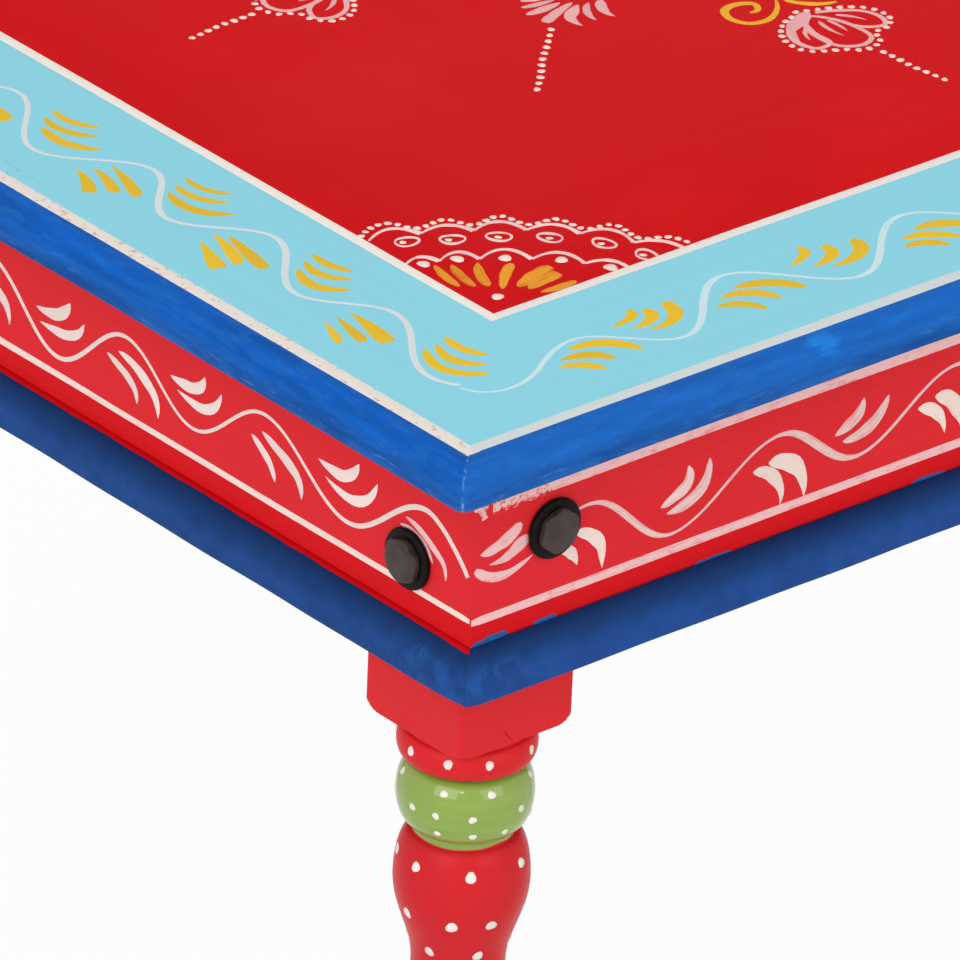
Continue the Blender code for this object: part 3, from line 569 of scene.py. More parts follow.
def spaced(points, gap):
    """Points at an even gap along a smooth path through the given ones."""
    fine = smooth_path(points, 40 * len(points))
    length = travelled(fine)
    at = np.linspace(0, length[-1], int(round(length[-1] / gap)) + 1)
    return np.stack([np.interp(at, length, fine[:, 0]), np.interp(at, length, fine[:, 1])], -1)


# Finishes

def linear(colour):
    """The shader's colour for one written as it looks on a screen."""
    part = np.asarray(colour, float)[:3]
    return tuple(np.where(part <= 0.04045, part / 12.92, ((part + 0.055) / 1.055) ** 2.4)) + (1.0,)


def shade(colour, factor):
    """A colour made darker or lighter by a factor, kept within range."""
    return tuple(min(1.0, part * factor) for part in colour)


class Value:
    """One output in a tree of nodes, to be reckoned with like a number."""

    def __init__(self, nodes, socket):
        self.nodes, self.socket = nodes, socket

    def __add__(self, other):
        return self.nodes.reckon("ADD", self, other)

    def __sub__(self, other):
        return self.nodes.reckon("SUBTRACT", self, other)

    def __rsub__(self, other):
        return self.nodes.reckon("SUBTRACT", other, self)

    def __mul__(self, other):
        return self.nodes.reckon("MULTIPLY", self, other)

    def __gt__(self, other):
        return self.nodes.reckon("GREATER_THAN", self, other)

    def __abs__(self):
        return self.nodes.reckon("ABSOLUTE", self)

    def most(self, other):
        return self.nodes.reckon("MAXIMUM", self, other)

    def ramp(self, low, high):
        """Smoothly from nothing at the low value to one at the high value."""
        settings = {"interpolation_type": "SMOOTHSTEP"}
        inputs = (("Value", self), ("From Min", low), ("From Max", high))
        return self.nodes.value("ShaderNodeMapRange", 0, settings, *inputs)


class Nodes:
    """A tree of shader nodes. A value may stand wherever a number or a colour may."""

    def __init__(self, tree):
        self.tree = tree

    def feed(self, socket, value):
        if isinstance(value, Value):
            self.tree.links.new(value.socket, socket)
        elif socket.type == "RGBA":
            socket.default_value = linear(value)
        else:
            socket.default_value = value

    def node(self, kind, settings, *inputs):
        made = self.tree.nodes.new(kind)
        for key, value in settings.items():
            setattr(made, key, value)
        for socket, value in inputs:
            self.feed(made.inputs[socket], value)
        return made

    def value(self, kind, output, settings, *inputs):
        return Value(self, self.node(kind, settings, *inputs).outputs[output])

    def reckon(self, operation, *values):
        return self.value("ShaderNodeMath", 0, {"operation": operation}, *enumerate(values))

    def white_rays(self):
        """One for rays from the camera, from gloss and through glass, nothing for the rest."""
        path = self.node("ShaderNodeLightPath", {})
        names = ("Is Camera Ray", "Is Glossy Ray", "Is Transmission Ray")
        camera, gloss, glass = (Value(self, path.outputs[name]) for name in names)
        return camera.most(gloss).most(glass)

    def blend(self, output, share, *shaders):
        """Joins two shaders, mixed by a share, to the surface of an output node."""
        sockets = [Value(self, shader.outputs[0]) for shader in shaders]
        mixed = self.value("ShaderNodeMixShader", 0, {}, *enumerate([share, *sockets]))
        self.feed(output.inputs["Surface"], mixed)


class Finish(Nodes):
    """A material and the nodes that make it."""

    def __init__(self, name, specular, metallic=0.0):
        self.material = bpy.data.materials.new(name)
        self.material.use_nodes = True
        super().__init__(self.material.node_tree)
        self.shader = self.tree.nodes["Principled BSDF"]
        self.shader.inputs["Specular IOR Level"].default_value = specular
        self.shader.inputs["Metallic"].default_value = metallic

    def split(self, vector):
        return [Value(self, socket) for socket in self.node("ShaderNodeSeparateXYZ", {}, (0, vector)).outputs]

    def point(self):
        """The place on the piece, in metres."""
        return self.value("ShaderNodeTexCoord", "Object", {})

    def stroke_values(self):
        """Distance along a brush stroke, place across it and its own number."""
        settings = {"attribute_type": "GEOMETRY", "attribute_name": "stroke"}
        return self.split(self.value("ShaderNodeAttribute", "Vector", settings))

    def noise(self, at, scale=1.0, detail=3.0):
        """Noise at a point, or at three values taken as a point."""
        if isinstance(at, tuple):
            at = self.value("ShaderNodeCombineXYZ", 0, {}, *enumerate(at))
        inputs = ("Vector", at), ("Scale", scale), ("Detail", detail)
        return self.value("ShaderNodeTexNoise", "Fac", {}, *inputs)

    def mix(self, share, first, second):
        return self.value("ShaderNodeMix", 2, {"data_type": "RGBA"}, (0, share), (6, first), (7, second))

    def tones(self, share, paint, dark, light):
        """From a darker to a lighter shade of a paint."""
        return self.mix(share, shade(paint, dark), shade(paint, light))

    def done(self, colour, roughness, height, depth):
        """Joins the colour, the roughness and a bump of the given depth in metres to the shader."""
        bump = self.value("ShaderNodeBump", 0, {}, ("Height", height), ("Distance", depth))
        for name, value in (("Base Color", colour), ("Roughness", roughness), ("Normal", bump)):
            self.feed(self.shader.inputs[name], value)
        return self.material


def by_sides(x, y):
    """Distance along the nearest side, distance out from the middle, and one on the left and right sides."""
    sideways = abs(x) > abs(y)
    return x + sideways * (y - x), abs(x).most(abs(y)), sideways


def top_finish(paints, sizes):
    """Blue edge, pale blue border and red field by distance from the edge, with streaks and scratches."""
    finish = Finish("top_paint", specular=0.02)
    point = finish.point()
    x, y, z = finish.split(point)
    along, reach, sideways = by_sides(x, y)
    streak = finish.noise((along * 7, reach * 240, z * 240), detail=4.0)
    mottle, fine = finish.noise(point, 11.0, 2.0), finish.noise(point, 900.0, 2.0)

    # Painted sheen: the red goes towards a paler, hazier red in cloudy patches and more towards the middle,
    # standing in for reflection at grazing angles.
    cloud = finish.noise((x * 0.6, y, 5.2), 13.0)
    painted_sheen = cloud.ramp(0.46, 0.66) * 0.4 + reach.ramp(0.24, 0.13) * 0.6
    red = finish.tones(mottle.ramp(0.35, 0.68), paints.red, 0.96, 1.015)
    red = finish.mix(painted_sheen, red, (0.805, 0.095, 0.115))
    red = finish.mix(streak.ramp(0.55, 0.8) * 0.05, red, shade(paints.red, 0.9))

    hair = finish.noise((along * 26, reach * 620, 1.7), detail=2.0)
    worn = finish.noise((x, y, 3.1), 21.0, 2.0).ramp(0.64, 0.70)
    pale = finish.tones(streak.ramp(0.3, 0.7), paints.pale_blue, 0.995, 1.005)
    pale = finish.mix(mottle.ramp(0.55, 0.75) * 0.2, pale, shade(paints.pale_blue, 0.97))
    pale = finish.mix(hair.ramp(0.70, 0.74) * worn * 0.55, pale, (0.30, 0.42, 0.47))

    blotch = finish.noise((along * 24, reach * 190, z * 190), detail=5.0)
    dry = finish.noise((along * 130, reach * 560, z * 560), detail=4.0)
    coarse = finish.noise((along * 76, reach * 260, z * 340), detail=5.0)
    low = z.ramp(TOP_LEVEL - 0.004, TOP_LEVEL - 0.012)
    # Painted shade: a darker blue for the lower part of the rounded edge, where it curves under.
    painted_shade_blue = finish.mix(blotch.ramp(0.35, 0.65), (0.10, 0.30, 0.57), (0.16, 0.38, 0.67))
    rubbed = dry.ramp(0.58, 0.72) * (low * 0.75 + 0.25)
    thin = coarse.ramp(0.48, 0.60) * z.ramp(TOP_LEVEL - 0.005, TOP_LEVEL - 0.011)
    bright = coarse.ramp(0.50, 0.40) * z.ramp(TOP_LEVEL - 0.011, TOP_LEVEL - 0.004)
    measure = {"operation": "DISTANCE"}
    near = finish.value("ShaderNodeVectorMath", "Value", measure, (0, point), (1, EDGE_PATCH))
    patch = (near + coarse * 0.020).ramp(0.0170, 0.0100)
    crease = abs(abs(x) - abs(y)).ramp(0.0009, 0.0002) * finish.noise(point, 330.0).ramp(0.44, 0.60)
    blue = finish.tones(blotch.ramp(0.3, 0.7), paints.edge_blue, 0.90, 1.05)
    # Painted light: the front and back edges are painted lighter than the left and right ones.
    blue = finish.mix((1.0 - sideways) * 0.3, blue, (0.16, 0.42, 0.73))
    # Painted shade: the lower part of the edge goes towards that darker blue, more on the left and right sides.
    blue = finish.mix(low * (sideways * 0.2 + 0.6), blue, painted_shade_blue)
    blue = finish.mix(rubbed * 0.4, blue, (0.34, 0.53, 0.76))
    blue = finish.mix(thin * 0.38, blue, (0.09, 0.25, 0.50))
    blue = finish.mix(bright * 0.26, blue, (0.15, 0.43, 0.75))
    blue = finish.mix(patch * 0.52, blue, (0.14, 0.53, 0.87))
    blue = finish.mix(crease * 0.5, blue, (0.55, 0.68, 0.82))

    inward = TOP_HALF - reach
    line = sizes.line_inset + 0.0022
    field = sizes.line_inset + sizes.band_width - 0.0016
    under = finish.tones(streak.ramp(0.3, 0.7), paints.wood, 0.62, 0.8)
    below = z.ramp(TOP_LOW[2] + 0.0012, TOP_LOW[2] + 0.0004) * inward.ramp(0.012, 0.016)
    colour = finish.mix(inward.ramp(line - 0.0002, line + 0.0002), blue, pale)
    colour = finish.mix(inward.ramp(field - 0.0002, field + 0.0002), colour, red)
    colour = finish.mix(below, colour, under)
    return finish.done(colour, streak * 0.16 + 0.44, streak * 0.7 + fine * 0.3, 0.00012)


def rail_finish(paints):
    """Red of the rails: faint streaks along each side and a deeper second coat low down."""
    finish = Finish("rail_paint", specular=0.06)
    point = finish.point()
    x, y, z = finish.split(point)
    along, reach, _ = by_sides(x, y)
    streak = finish.noise((along * 9, z * 260, reach * 40), detail=4.0)
    mottle, fine = finish.noise(point, 16.0, 2.0), finish.noise(point, 800.0, 2.0)
    low = (z + (mottle - 0.5) * 0.004).ramp(RAIL_FOOT + 0.0098, RAIL_FOOT + 0.0078)
    colour = finish.tones(streak.ramp(0.3, 0.7), paints.rail_red, 0.99, 1.01)
    colour = finish.mix(mottle.ramp(0.4, 0.7) * 0.3, colour, shade(paints.rail_red, 0.97))
    colour = finish.mix(low * 0.9, colour, paints.deep_red)
    return finish.done(colour, streak * 0.14 + 0.42, streak * 0.75 + fine * 0.25, 0.00009)


def moulding_finish(paints):
    """Dark blue of the moulding: painted shade darker up by the rail, front and back faces painted lighter,
    scuffed at the corners, red lapped over its edge.
    """
    finish = Finish("moulding_paint", specular=0.05)
    point = finish.point()
    x, y, z = finish.split(point)
    along, reach, sideways = by_sides(x, y)
    streak = finish.noise((along * 10, z * 280, reach * 200), detail=4.0)
    mottle, fine = finish.noise(point, 24.0), finish.noise(point, 700.0)
    cloud = finish.noise(point, 130.0, 4.0)
    high = z.ramp(MOULDING_LOW[2] + 0.006, MOULDING_HIGH[2])
    ridge = reach.ramp(RAIL_FACE + 0.0045, RAIL_FACE + 0.0068)
    close = abs(abs(x) - abs(y)).ramp(0.045, 0.004)
    scuff = fine.ramp(0.46, 0.60) * (mottle.ramp(0.42, 0.58) * (close * 0.95 + 0.05)) * ridge
    soft = close * ridge * cloud.ramp(0.56, 0.42)
    ragged = finish.noise((along, 0.3, 0.7), 60.0, 4.0)
    lap = sideways * 0.0020 + (RAIL_FACE - 0.0010) + ragged * 0.0018
    blue = finish.tones(streak.ramp(0.28, 0.72), paints.moulding_blue, 0.95, 1.04)
    # Painted light: the front and back faces are painted lighter than the left and right ones.
    blue = finish.mix(sideways * 0.8, shade(paints.moulding_blue, 1.1), blue)
    # Painted shade: darker towards the top, up by the rail, under the board's overhang.
    blue = finish.mix(high * 0.85, blue, shade(paints.moulding_blue, 0.68))
    blue = finish.mix(cloud.ramp(0.42, 0.66) * 0.26, blue, shade(paints.moulding_blue, 0.7))
    blue = finish.mix(scuff * 0.7, blue, (0.36, 0.54, 0.76))
    blue = finish.mix(soft * 0.4, blue, (0.15, 0.38, 0.66))
    colour = finish.mix((reach - lap).ramp(0.0002, -0.0001), blue, paints.deep_red)
    return finish.done(colour, streak * 0.16 + 0.42, streak * 0.7 + fine * 0.3, 0.0001)


def leg_finish(paints):
    """Red leg with glossier green balls: paint edges that wander a little, and streaks round the turning."""
    finish = Finish("leg_paint", specular=0.1)
    point = finish.point()
    x, y, z = finish.split(point)
    streak = finish.noise((x * 22, y * 22, z * 300), detail=4.0)
    mottle, fine = finish.noise(point, 38.0, 2.0), finish.noise(point, 900.0, 2.0)
    red = finish.tones(streak.ramp(0.3, 0.7), paints.leg_red, 0.985, 1.012)
    red = finish.mix(mottle.ramp(0.45, 0.7) * 0.35, red, shade(paints.leg_red, 0.97))
    red = finish.mix(z.ramp(BLOCK_FOOT, BLOCK_FOOT - 0.02), red, shade(paints.leg_red, 0.94))
    green = finish.tones(streak.ramp(0.3, 0.7), paints.green, 0.97, 1.02)
    green = finish.mix(mottle.ramp(0.45, 0.7) * 0.4, green, shade(paints.green, 0.94))
    wander = (mottle - 0.5) * 0.006
    ball, lower = (
        (z + wander).ramp(low, low + 0.0006) * (z + wander * 0.35).ramp(high, high - 0.0004)
        for low, high in GREEN_BANDS
    )
    balls = ball + lower
    finish.feed(finish.shader.inputs["Coat Weight"], balls * 0.8)
    finish.shader.inputs["Coat Roughness"].default_value = 0.08
    colour = finish.mix(balls, red, green)
    return finish.done(colour, streak * 0.12 + 0.3, streak * 0.8 + fine * 0.2, 0.0001)


def stroke_finish(name, paint, under, cover, edge=0.0, grain=1.0, speck=None):
    """Brush paint: hair streaks along the stroke, thinner at its edges, with the ground showing through."""
    finish = Finish(name, specular=0.05)
    along, across, own = finish.stroke_values()
    number = own * 60
    hair = finish.noise((along * (0.045 * grain), across * 2.4, number), 1.5)
    patch = finish.noise((along * (0.16 * grain), across * 0.5, number), detail=2.0)
    bare = hair * 0.65 + patch * 0.35 + across * across * edge
    tone = finish.tones(own, paint, 0.96, 1.03)
    tone = finish.mix(hair.ramp(0.4, 0.7) * 0.3, tone, shade(paint, 0.95))
    colour = finish.mix(bare.ramp(cover, cover + 0.22), tone, under)
    if speck:
        dust = finish.noise((along * 0.42, across * 1.5, number), detail=5.0)
        colour = finish.mix(dust.ramp(0.54, 0.67) * patch.ramp(0.38, 0.57) * 0.8, colour, speck)
    return finish.done(colour, hair * 0.16 + 0.42, hair, 0.00003)


def metal_finish(name, colour, metallic, roughness, wear, specular=0.5):
    """Turned or plated steel: faint rubbing and small pits."""
    finish = Finish(name, specular, metallic)
    point = finish.point()
    mottle, fine = finish.noise(point, 160.0), finish.noise(point, 1400.0)
    tone = finish.tones(mottle.ramp(0.35, 0.65), colour, 0.85, 1.12)
    tone = finish.mix(fine.ramp(0.58, 0.7) * 0.35, tone, wear)
    return finish.done(tone, mottle * 0.15 + roughness, fine, 0.00006)


def wood_finish(paints):
    """Bare wood under the top: long grain, darker pores and a planed surface."""
    finish = Finish("bare_wood", specular=0.3)
    x, y, z = finish.split(finish.point())
    along, reach, _ = by_sides(x, y)
    grain = finish.noise((along * 6, reach * 160, z * 160), detail=5.0)
    pores = finish.noise((along * 60, reach * 1400, z * 1400), detail=2.0)
    colour = finish.tones(grain.ramp(0.3, 0.7), paints.wood, 0.8, 1.08)
    colour = finish.mix(pores.ramp(0.6, 0.72) * 0.5, colour, shade(paints.wood, 0.5))
    return finish.done(colour, grain * 0.2 + 0.55, grain + pores, 0.0002)


# Pieces

def piece(context, name, mesh, material, slot, *nodes):
    """An object in the scene that rides on the table, with its finish, for the given nodes. The slot is not
    used.
    """
    obj = bpy.data.objects.new(name, mesh)
    mesh.materials.append(material)
    context.scene.collection.objects.link(obj)
    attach(obj, "root")
    if nodes:
        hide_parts(*nodes)


def painted(context, name, part, material, slot):
    """A piece of brush paint, from its (rings, values)."""
    rings, values = part
    piece(context, name, loft(name, rings, stroke=values), material, slot)


def coat(material, prefix):
    """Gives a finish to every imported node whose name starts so."""
    nodes = [obj for name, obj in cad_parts.items() if name.startswith(prefix)]
    if not nodes:
        raise RuntimeError(f"no node starts with {prefix}")
    for obj in nodes:
        obj.data.materials.clear()
        obj.data.materials.append(material)


def joined(*parts):
    """Several (rings, values) of the same shape as one."""
    return np.concatenate([part[0] for part in parts]), np.concatenate([part[1] for part in parts])


def both_sides(side, part, corner, across, out):
    """A (rings, values) laid on the left or front side, and repeated on the opposite one by a half turn."""
    along = (0, 1, 0) if side == "left" else (1, 0, 0)
    rings = laid(part[0], corner, along, across, out)
    return np.concatenate([rings, rings * (-1, -1, 1)]), np.concatenate([part[1], part[1]])


def on_border(sizes, side, part):
    """A (rings, values) of the border, in millimetres along the side, in from the outer line and up."""
    corner = sizes.line_inset - TOP_HALF
    across = (1, 0, 0) if side == "left" else (0, 1, 0)
    return both_sides(side, part, (corner, corner, TOP_LEVEL), across, (0, 0, 1))


def on_rail(side, part):
    """A (rings, values) of a rail, in millimetres along the side, up from its foot and out of its face."""
    return both_sides(side, part, (-RAIL_FACE, -RAIL_FACE, RAIL_FOOT), (0, 0, 1), SIDES[side][1])


def on_field(part, shift=(0.0, 0.0)):
    """A (rings, values) in millimetres from the top's middle, repeated after each quarter turn.

    The repeats on the left and right are first moved by the shift.
    """
    rings = laid(part[0], (0, 0, TOP_LEVEL), (1, 0, 0), (0, 1, 0), (0, 0, 1))
    moved = rings + np.array([*shift, 0.0]) / 1000
    turns = [quarter_turned(moved if times % 2 else rings, times) for times in range(4)]
    return np.concatenate(turns), np.concatenate([part[1]] * 4)


def flat_dabs(points, diameter, lift, seed, stretch=1.0, lean=0.0):
    """Dabs on a flat face in millimetres, longer by the stretch along the leaning direction."""
    points = np.asarray(points, float)
    middles = np.concatenate([points, np.zeros((len(points), 1))], 1)
    right, up = (math.cos(lean), math.sin(lean), 0), (-math.sin(lean), math.cos(lean), 0)
    return dabs(middles, right, up, (0, 0, 1), np.full(len(points), diameter / 2), lift * 1000, seed, stretch)


def reach_of(node, outward):
    """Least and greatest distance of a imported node's box from the table's middle, in an outward direction."""
    out = np.stack(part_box(node)) @ np.array(outward, float)
    return float(out.min()), float(out.max())


class TABLE_OT_top_board(bpy.types.Operator):
    """Make the top board: a rounded-square section carried from the underside over the edge to the middle"""

    bl_idname = "coffee_table.top_board"
    bl_label = "Top board"

    def execute(self, context):
        sizes, paints = context.scene.table_sizes, context.scene.table_paints
        quarter = np.linspace(0, np.pi / 2, 9)
        soft = quarter[::2]
        upper, under = sizes.edge_round, sizes.under_round
        underside = TOP_HALF - np.array([BOARD_MIDDLE, 0.1, 0.25, 0.29])
        face = np.array([upper + 0.001, 0.015, 0.04, 0.08, 0.14, 0.22, TOP_HALF - BOARD_MIDDLE])
        inset = np.concatenate([underside, under * (1 - np.sin(soft)), upper * (1 - np.cos(quarter)), face])
        level = np.concatenate([
            np.full(len(underside), TOP_LOW[2]),
            TOP_LOW[2] + under * (1 - np.cos(soft)),
            TOP_LEVEL - upper * (1 - np.sin(quarter)),
            np.full(len(face), TOP_LEVEL),
        ])
        half = TOP_HALF - inset
        radius = np.clip(sizes.corner_round - inset * 0.3, 0.0003, half)
        flat = rounded_squares(half, radius, sides=40, corners=7)
        near_edge = np.clip(1 - inset / EDGE_BAND, 0, 1)[:, None]
        turn = np.arctan2(flat[..., 1], flat[..., 0])
        waver = EDGE_WAVER * near_edge * (np.sin(9 * turn + 1.0) + 0.6 * np.sin(23 * turn + 2.2))
        flat = flat * (1 - (waver + EDGE_BACK * near_edge) / TOP_HALF)[..., None]
        mesh = loft("top_board_fine", at_levels(flat, level)[None], crease=50)
        piece(context, "top_board_fine", mesh, top_finish(paints, sizes), "top_paint", "top_board")
        return {"FINISHED"}


class TABLE_OT_border_lines(bpy.types.Operator):
    """Paint the two white lines of the border on each side"""

    bl_idname = "coffee_table.border_lines"
    bl_label = "Border lines"

    def execute(self, context):
        sizes, paints = context.scene.table_sizes, context.scene.table_paints
        rng = np.random.default_rng(11)
        along = np.linspace(0, 1, 26)
        lines = (
            ("left", "outer", -0.2, 2.5, 5.4, paints.cream, (0.74, 0.58, 0.50)),
            ("left", "inner", 66.0, 67.8, 4.2, paints.cream, None),
            ("front", "outer", -0.2, 2.4, 5.0, paints.cool_white, (0.78, 0.78, 0.77)),
            ("front", "inner", 65.6, 67.9, 4.2, (0.915, 0.885, 0.86), None),
        )
        for number, (side, place, start, level, width, white, speck) in enumerate(lines):
            waver = 0.25 * rng.standard_normal(len(along)).cumsum() / 3
            waver -= np.linspace(waver[0], waver[-1], len(along))
            run = start + (BORDER_LENGTH - 2 * start) * along
            path = np.stack([run, level + np.clip(waver, -0.5, 0.5)], -1)
            lift = sizes.paint_lift * (1.0 if side == "left" else 0.8)
            part = brushed([path], [width], EVEN, lift, seed=12 + number, count=150, waver=0.06)
            name = f"border_line_{side}_{place}"
            thin = shade(white, 0.95)
            material = stroke_finish(
                f"{name}_paint", white, thin, cover=0.60, edge=0.0, grain=2.0, speck=speck
            )
            painted(context, name, on_border(sizes, side, part), material, "top_paint")
        return {"FINISHED"}


class TABLE_OT_border_vine(bpy.types.Operator):
    """Paint the waving vine along each side of the border"""

    bl_idname = "coffee_table.border_vine"
    bl_label = "Border vine"

    def execute(self, context):
        sizes, paints = context.scene.table_sizes, context.scene.table_paints
        left_white, front_white = (0.845, 0.875, 0.875), (0.775, 0.865, 0.885)
        vines = (
            ("left", LEFT_VINE_START, LEFT_VINE_TURNS, LEFT_VINE_STEP, left_white, 0.68, (-45, 0.66)),
            ("front", FRONT_VINE_START, FRONT_VINE_TURNS, FRONT_VINE_STEP, front_white, 0.55, (-40, 0.5)),
        )
        for number, (side, start, turns, step, white, cover, nib) in enumerate(vines):
            path = wave_path(start, wave_turns(turns, step, VINE_END), count=240)
            part = brushed(
                [path], [VINE_WIDTH], (0.02, 0.02), sizes.paint_lift,
                seed=20 + number, count=300, waver=0.2, nib=nib,
            )
            material = stroke_finish(f"{side}_vine_paint", white, paints.pale_blue, cover=cover, edge=0.05)
            painted(context, f"border_vine_{side}", on_border(sizes, side, part), material, "top_paint")
        return {"FINISHED"}


class TABLE_OT_border_leaves(bpy.types.Operator):
    """Paint the yellow leaves in threes, in and out of the vine's bends, and a few smudges beside them"""

    bl_idname = "coffee_table.border_leaves"
    bl_label = "Border leaves"

    def execute(self, context):
        sizes, paints = context.scene.table_sizes, context.scene.table_paints
        left = wave_turns(LEFT_VINE_TURNS, LEFT_VINE_STEP, LEAVES_END)[:, 0]
        front = wave_turns(FRONT_VINE_TURNS, FRONT_VINE_STEP, LEAVES_END)[:, 0]
        groups = (
            ("left", LEFT_INNER_LEAVES, left[0:8:2], left[8::2], LEFT_INNER_WIDTHS, ((0.42, 0.42),)),
            ("left", LEFT_OUTER_LEAVES, left[1:7:2], left[7::2], LEFT_OUTER_WIDTHS, LEFT_OUTER_SWELLS),
            ("front", FRONT_OUTER_LEAVES, front[1:6:2], front[7::2], (5.6, 5.0, 4.4), ((0.62, 0.5),)),
            ("front", FRONT_INNER_LEAVES, front[2:5:2], front[6::2], (5.6, 4.8, 3.9), ((0.75, 0.22),)),
        )
        parts = []
        for number, (side, strokes, anchors, places, widths, swells) in enumerate(groups):
            paths = carried_on(strokes, per_group=3, anchors=anchors, places=places)
            every, forms = np.resize(widths, len(paths)), np.resize(swells, (len(paths), 2))
            part = brushed(paths, every, forms, sizes.paint_lift, seed=30 + number, count=14, waver=0.06)
            parts.append(on_border(sizes, side, part))
        material = stroke_finish("leaf_paint", paints.yellow, shade(paints.yellow, 0.9), cover=0.6)
        painted(context, "border_leaves", joined(*parts), material, "top_paint")
        lift = sizes.paint_lift / 2
        part = brushed(BORDER_SMUDGES, SMUDGE_WIDTHS, (0.6, 0.6), lift, seed=35, count=14, waver=0.3)
        smudge = (0.49, 0.73, 0.80)
        material = stroke_finish("smudge_paint", smudge, paints.pale_blue, cover=0.38, edge=0.3, grain=6.0)
        painted(context, "border_smudges", on_border(sizes, "left", part), material, "top_paint")
        return {"FINISHED"}


class TABLE_OT_corner_fans(bpy.types.Operator):
    """Paint the scalloped fan in each corner of the red field"""

    bl_idname = "coffee_table.corner_fans"
    bl_label = "Corner fans"

    def execute(self, context):
        sizes, paints = context.scene.table_sizes, context.scene.table_paints
        lift = sizes.paint_lift
        corner = (sizes.line_inset + sizes.band_width - TOP_HALF) * 1000
        thin, thinner = shade(paints.red, 1.12), shade(paints.red, 1.2)
        white = stroke_finish("fan_white_paint", (0.93, 0.845, 0.80), thin, cover=0.64, edge=0.06)
        pink = stroke_finish("fan_line_paint", (0.925, 0.80, 0.775), thinner, cover=0.58, edge=0.12)
        orange = stroke_finish("fan_petal_paint", paints.orange, (0.80, 0.38, 0.12), cover=0.50, edge=0.08)
        inner, inner_tops = np.array(FAN_INNER_ENDS) + corner, np.array(FAN_INNER_TOPS) + corner
        outer, outer_tops = np.array(FAN_OUTER_ENDS) + corner, np.array(FAN_OUTER_TOPS) + corner
        rows = (zip(inner[1:], inner_tops, inner), zip(outer[1:], outer_tops, outer))
        arches = [np.stack(arch) for row in rows for arch in row]
        part = brushed(
            arches, SCALLOP_WIDTH, (0.04, 0.06), lift,
            seed=41, count=22, waver=0.15, nib=(45, 0.45), heavy=(1.8, 3.5),
        )
        painted(context, "fan_scallops", on_field(part), pink, "top_paint")
        turn = np.linspace(0.4, 2 * np.pi + 0.55, 14)
        eyes = [self.oval(np.array(eye) + corner, eye, turn + number) for number, eye in enumerate(FAN_EYES)]
        part = brushed(eyes, EYE_WIDTH, (0.06, 0.10), lift, seed=42, count=26, waver=0.25, nib=(45, 0.5))
        painted(context, "fan_eyes", on_field(part), pink, "top_paint")
        petals = np.array(FAN_PETALS) + corner
        part = brushed(petals, FAN_PETAL_WIDTHS, FAN_PETAL_SWELLS, lift, seed=43, count=12, waver=0.1)
        painted(context, "fan_petals", on_field(part), orange, "top_paint")
        beads = np.concatenate([np.stack([outer[:-1], outer_tops], 1).reshape(-1, 2), outer[-1:]])
        away = beads - corner
        beads = beads + away / np.linalg.norm(away, axis=1, keepdims=True) * BEAD_OFFSET
        dots = (
            (spaced(beads, gap=BEAD_GAP), 2.3, 1.1),
            (np.array(FAN_INNER_DOTS) + corner, 4.3, 1.1),
            (np.array([FAN_FOOT_DOT]) + corner, 4.6, 1.0),
            (np.array(FAN_EYES) + corner + (-0.9, 0.2), 1.9, 1.4),
        )
        parts = [
            flat_dabs(points, diameter, sizes.dot_lift, seed=44 + number, stretch=stretch, lean=-math.pi / 4)
            for number, (points, diameter, stretch) in enumerate(dots)
        ]
        painted(context, "fan_dots", on_field(joined(*parts)), white, "top_paint")
        return {"FINISHED"}

    def oval(self, middle, direction, turn):
        """A loop round a point: nine millimetres across the fan's ray, six along it, longer to one side."""
        ray = np.array(direction) / np.linalg.norm(direction)
        side = np.array([-ray[1], ray[0]])
        drawn = 4.2 + 0.8 * np.cos(turn + direction[0])
        return middle + (np.cos(turn) * drawn)[:, None] * side + np.sin(turn)[:, None] * ray * 3.0


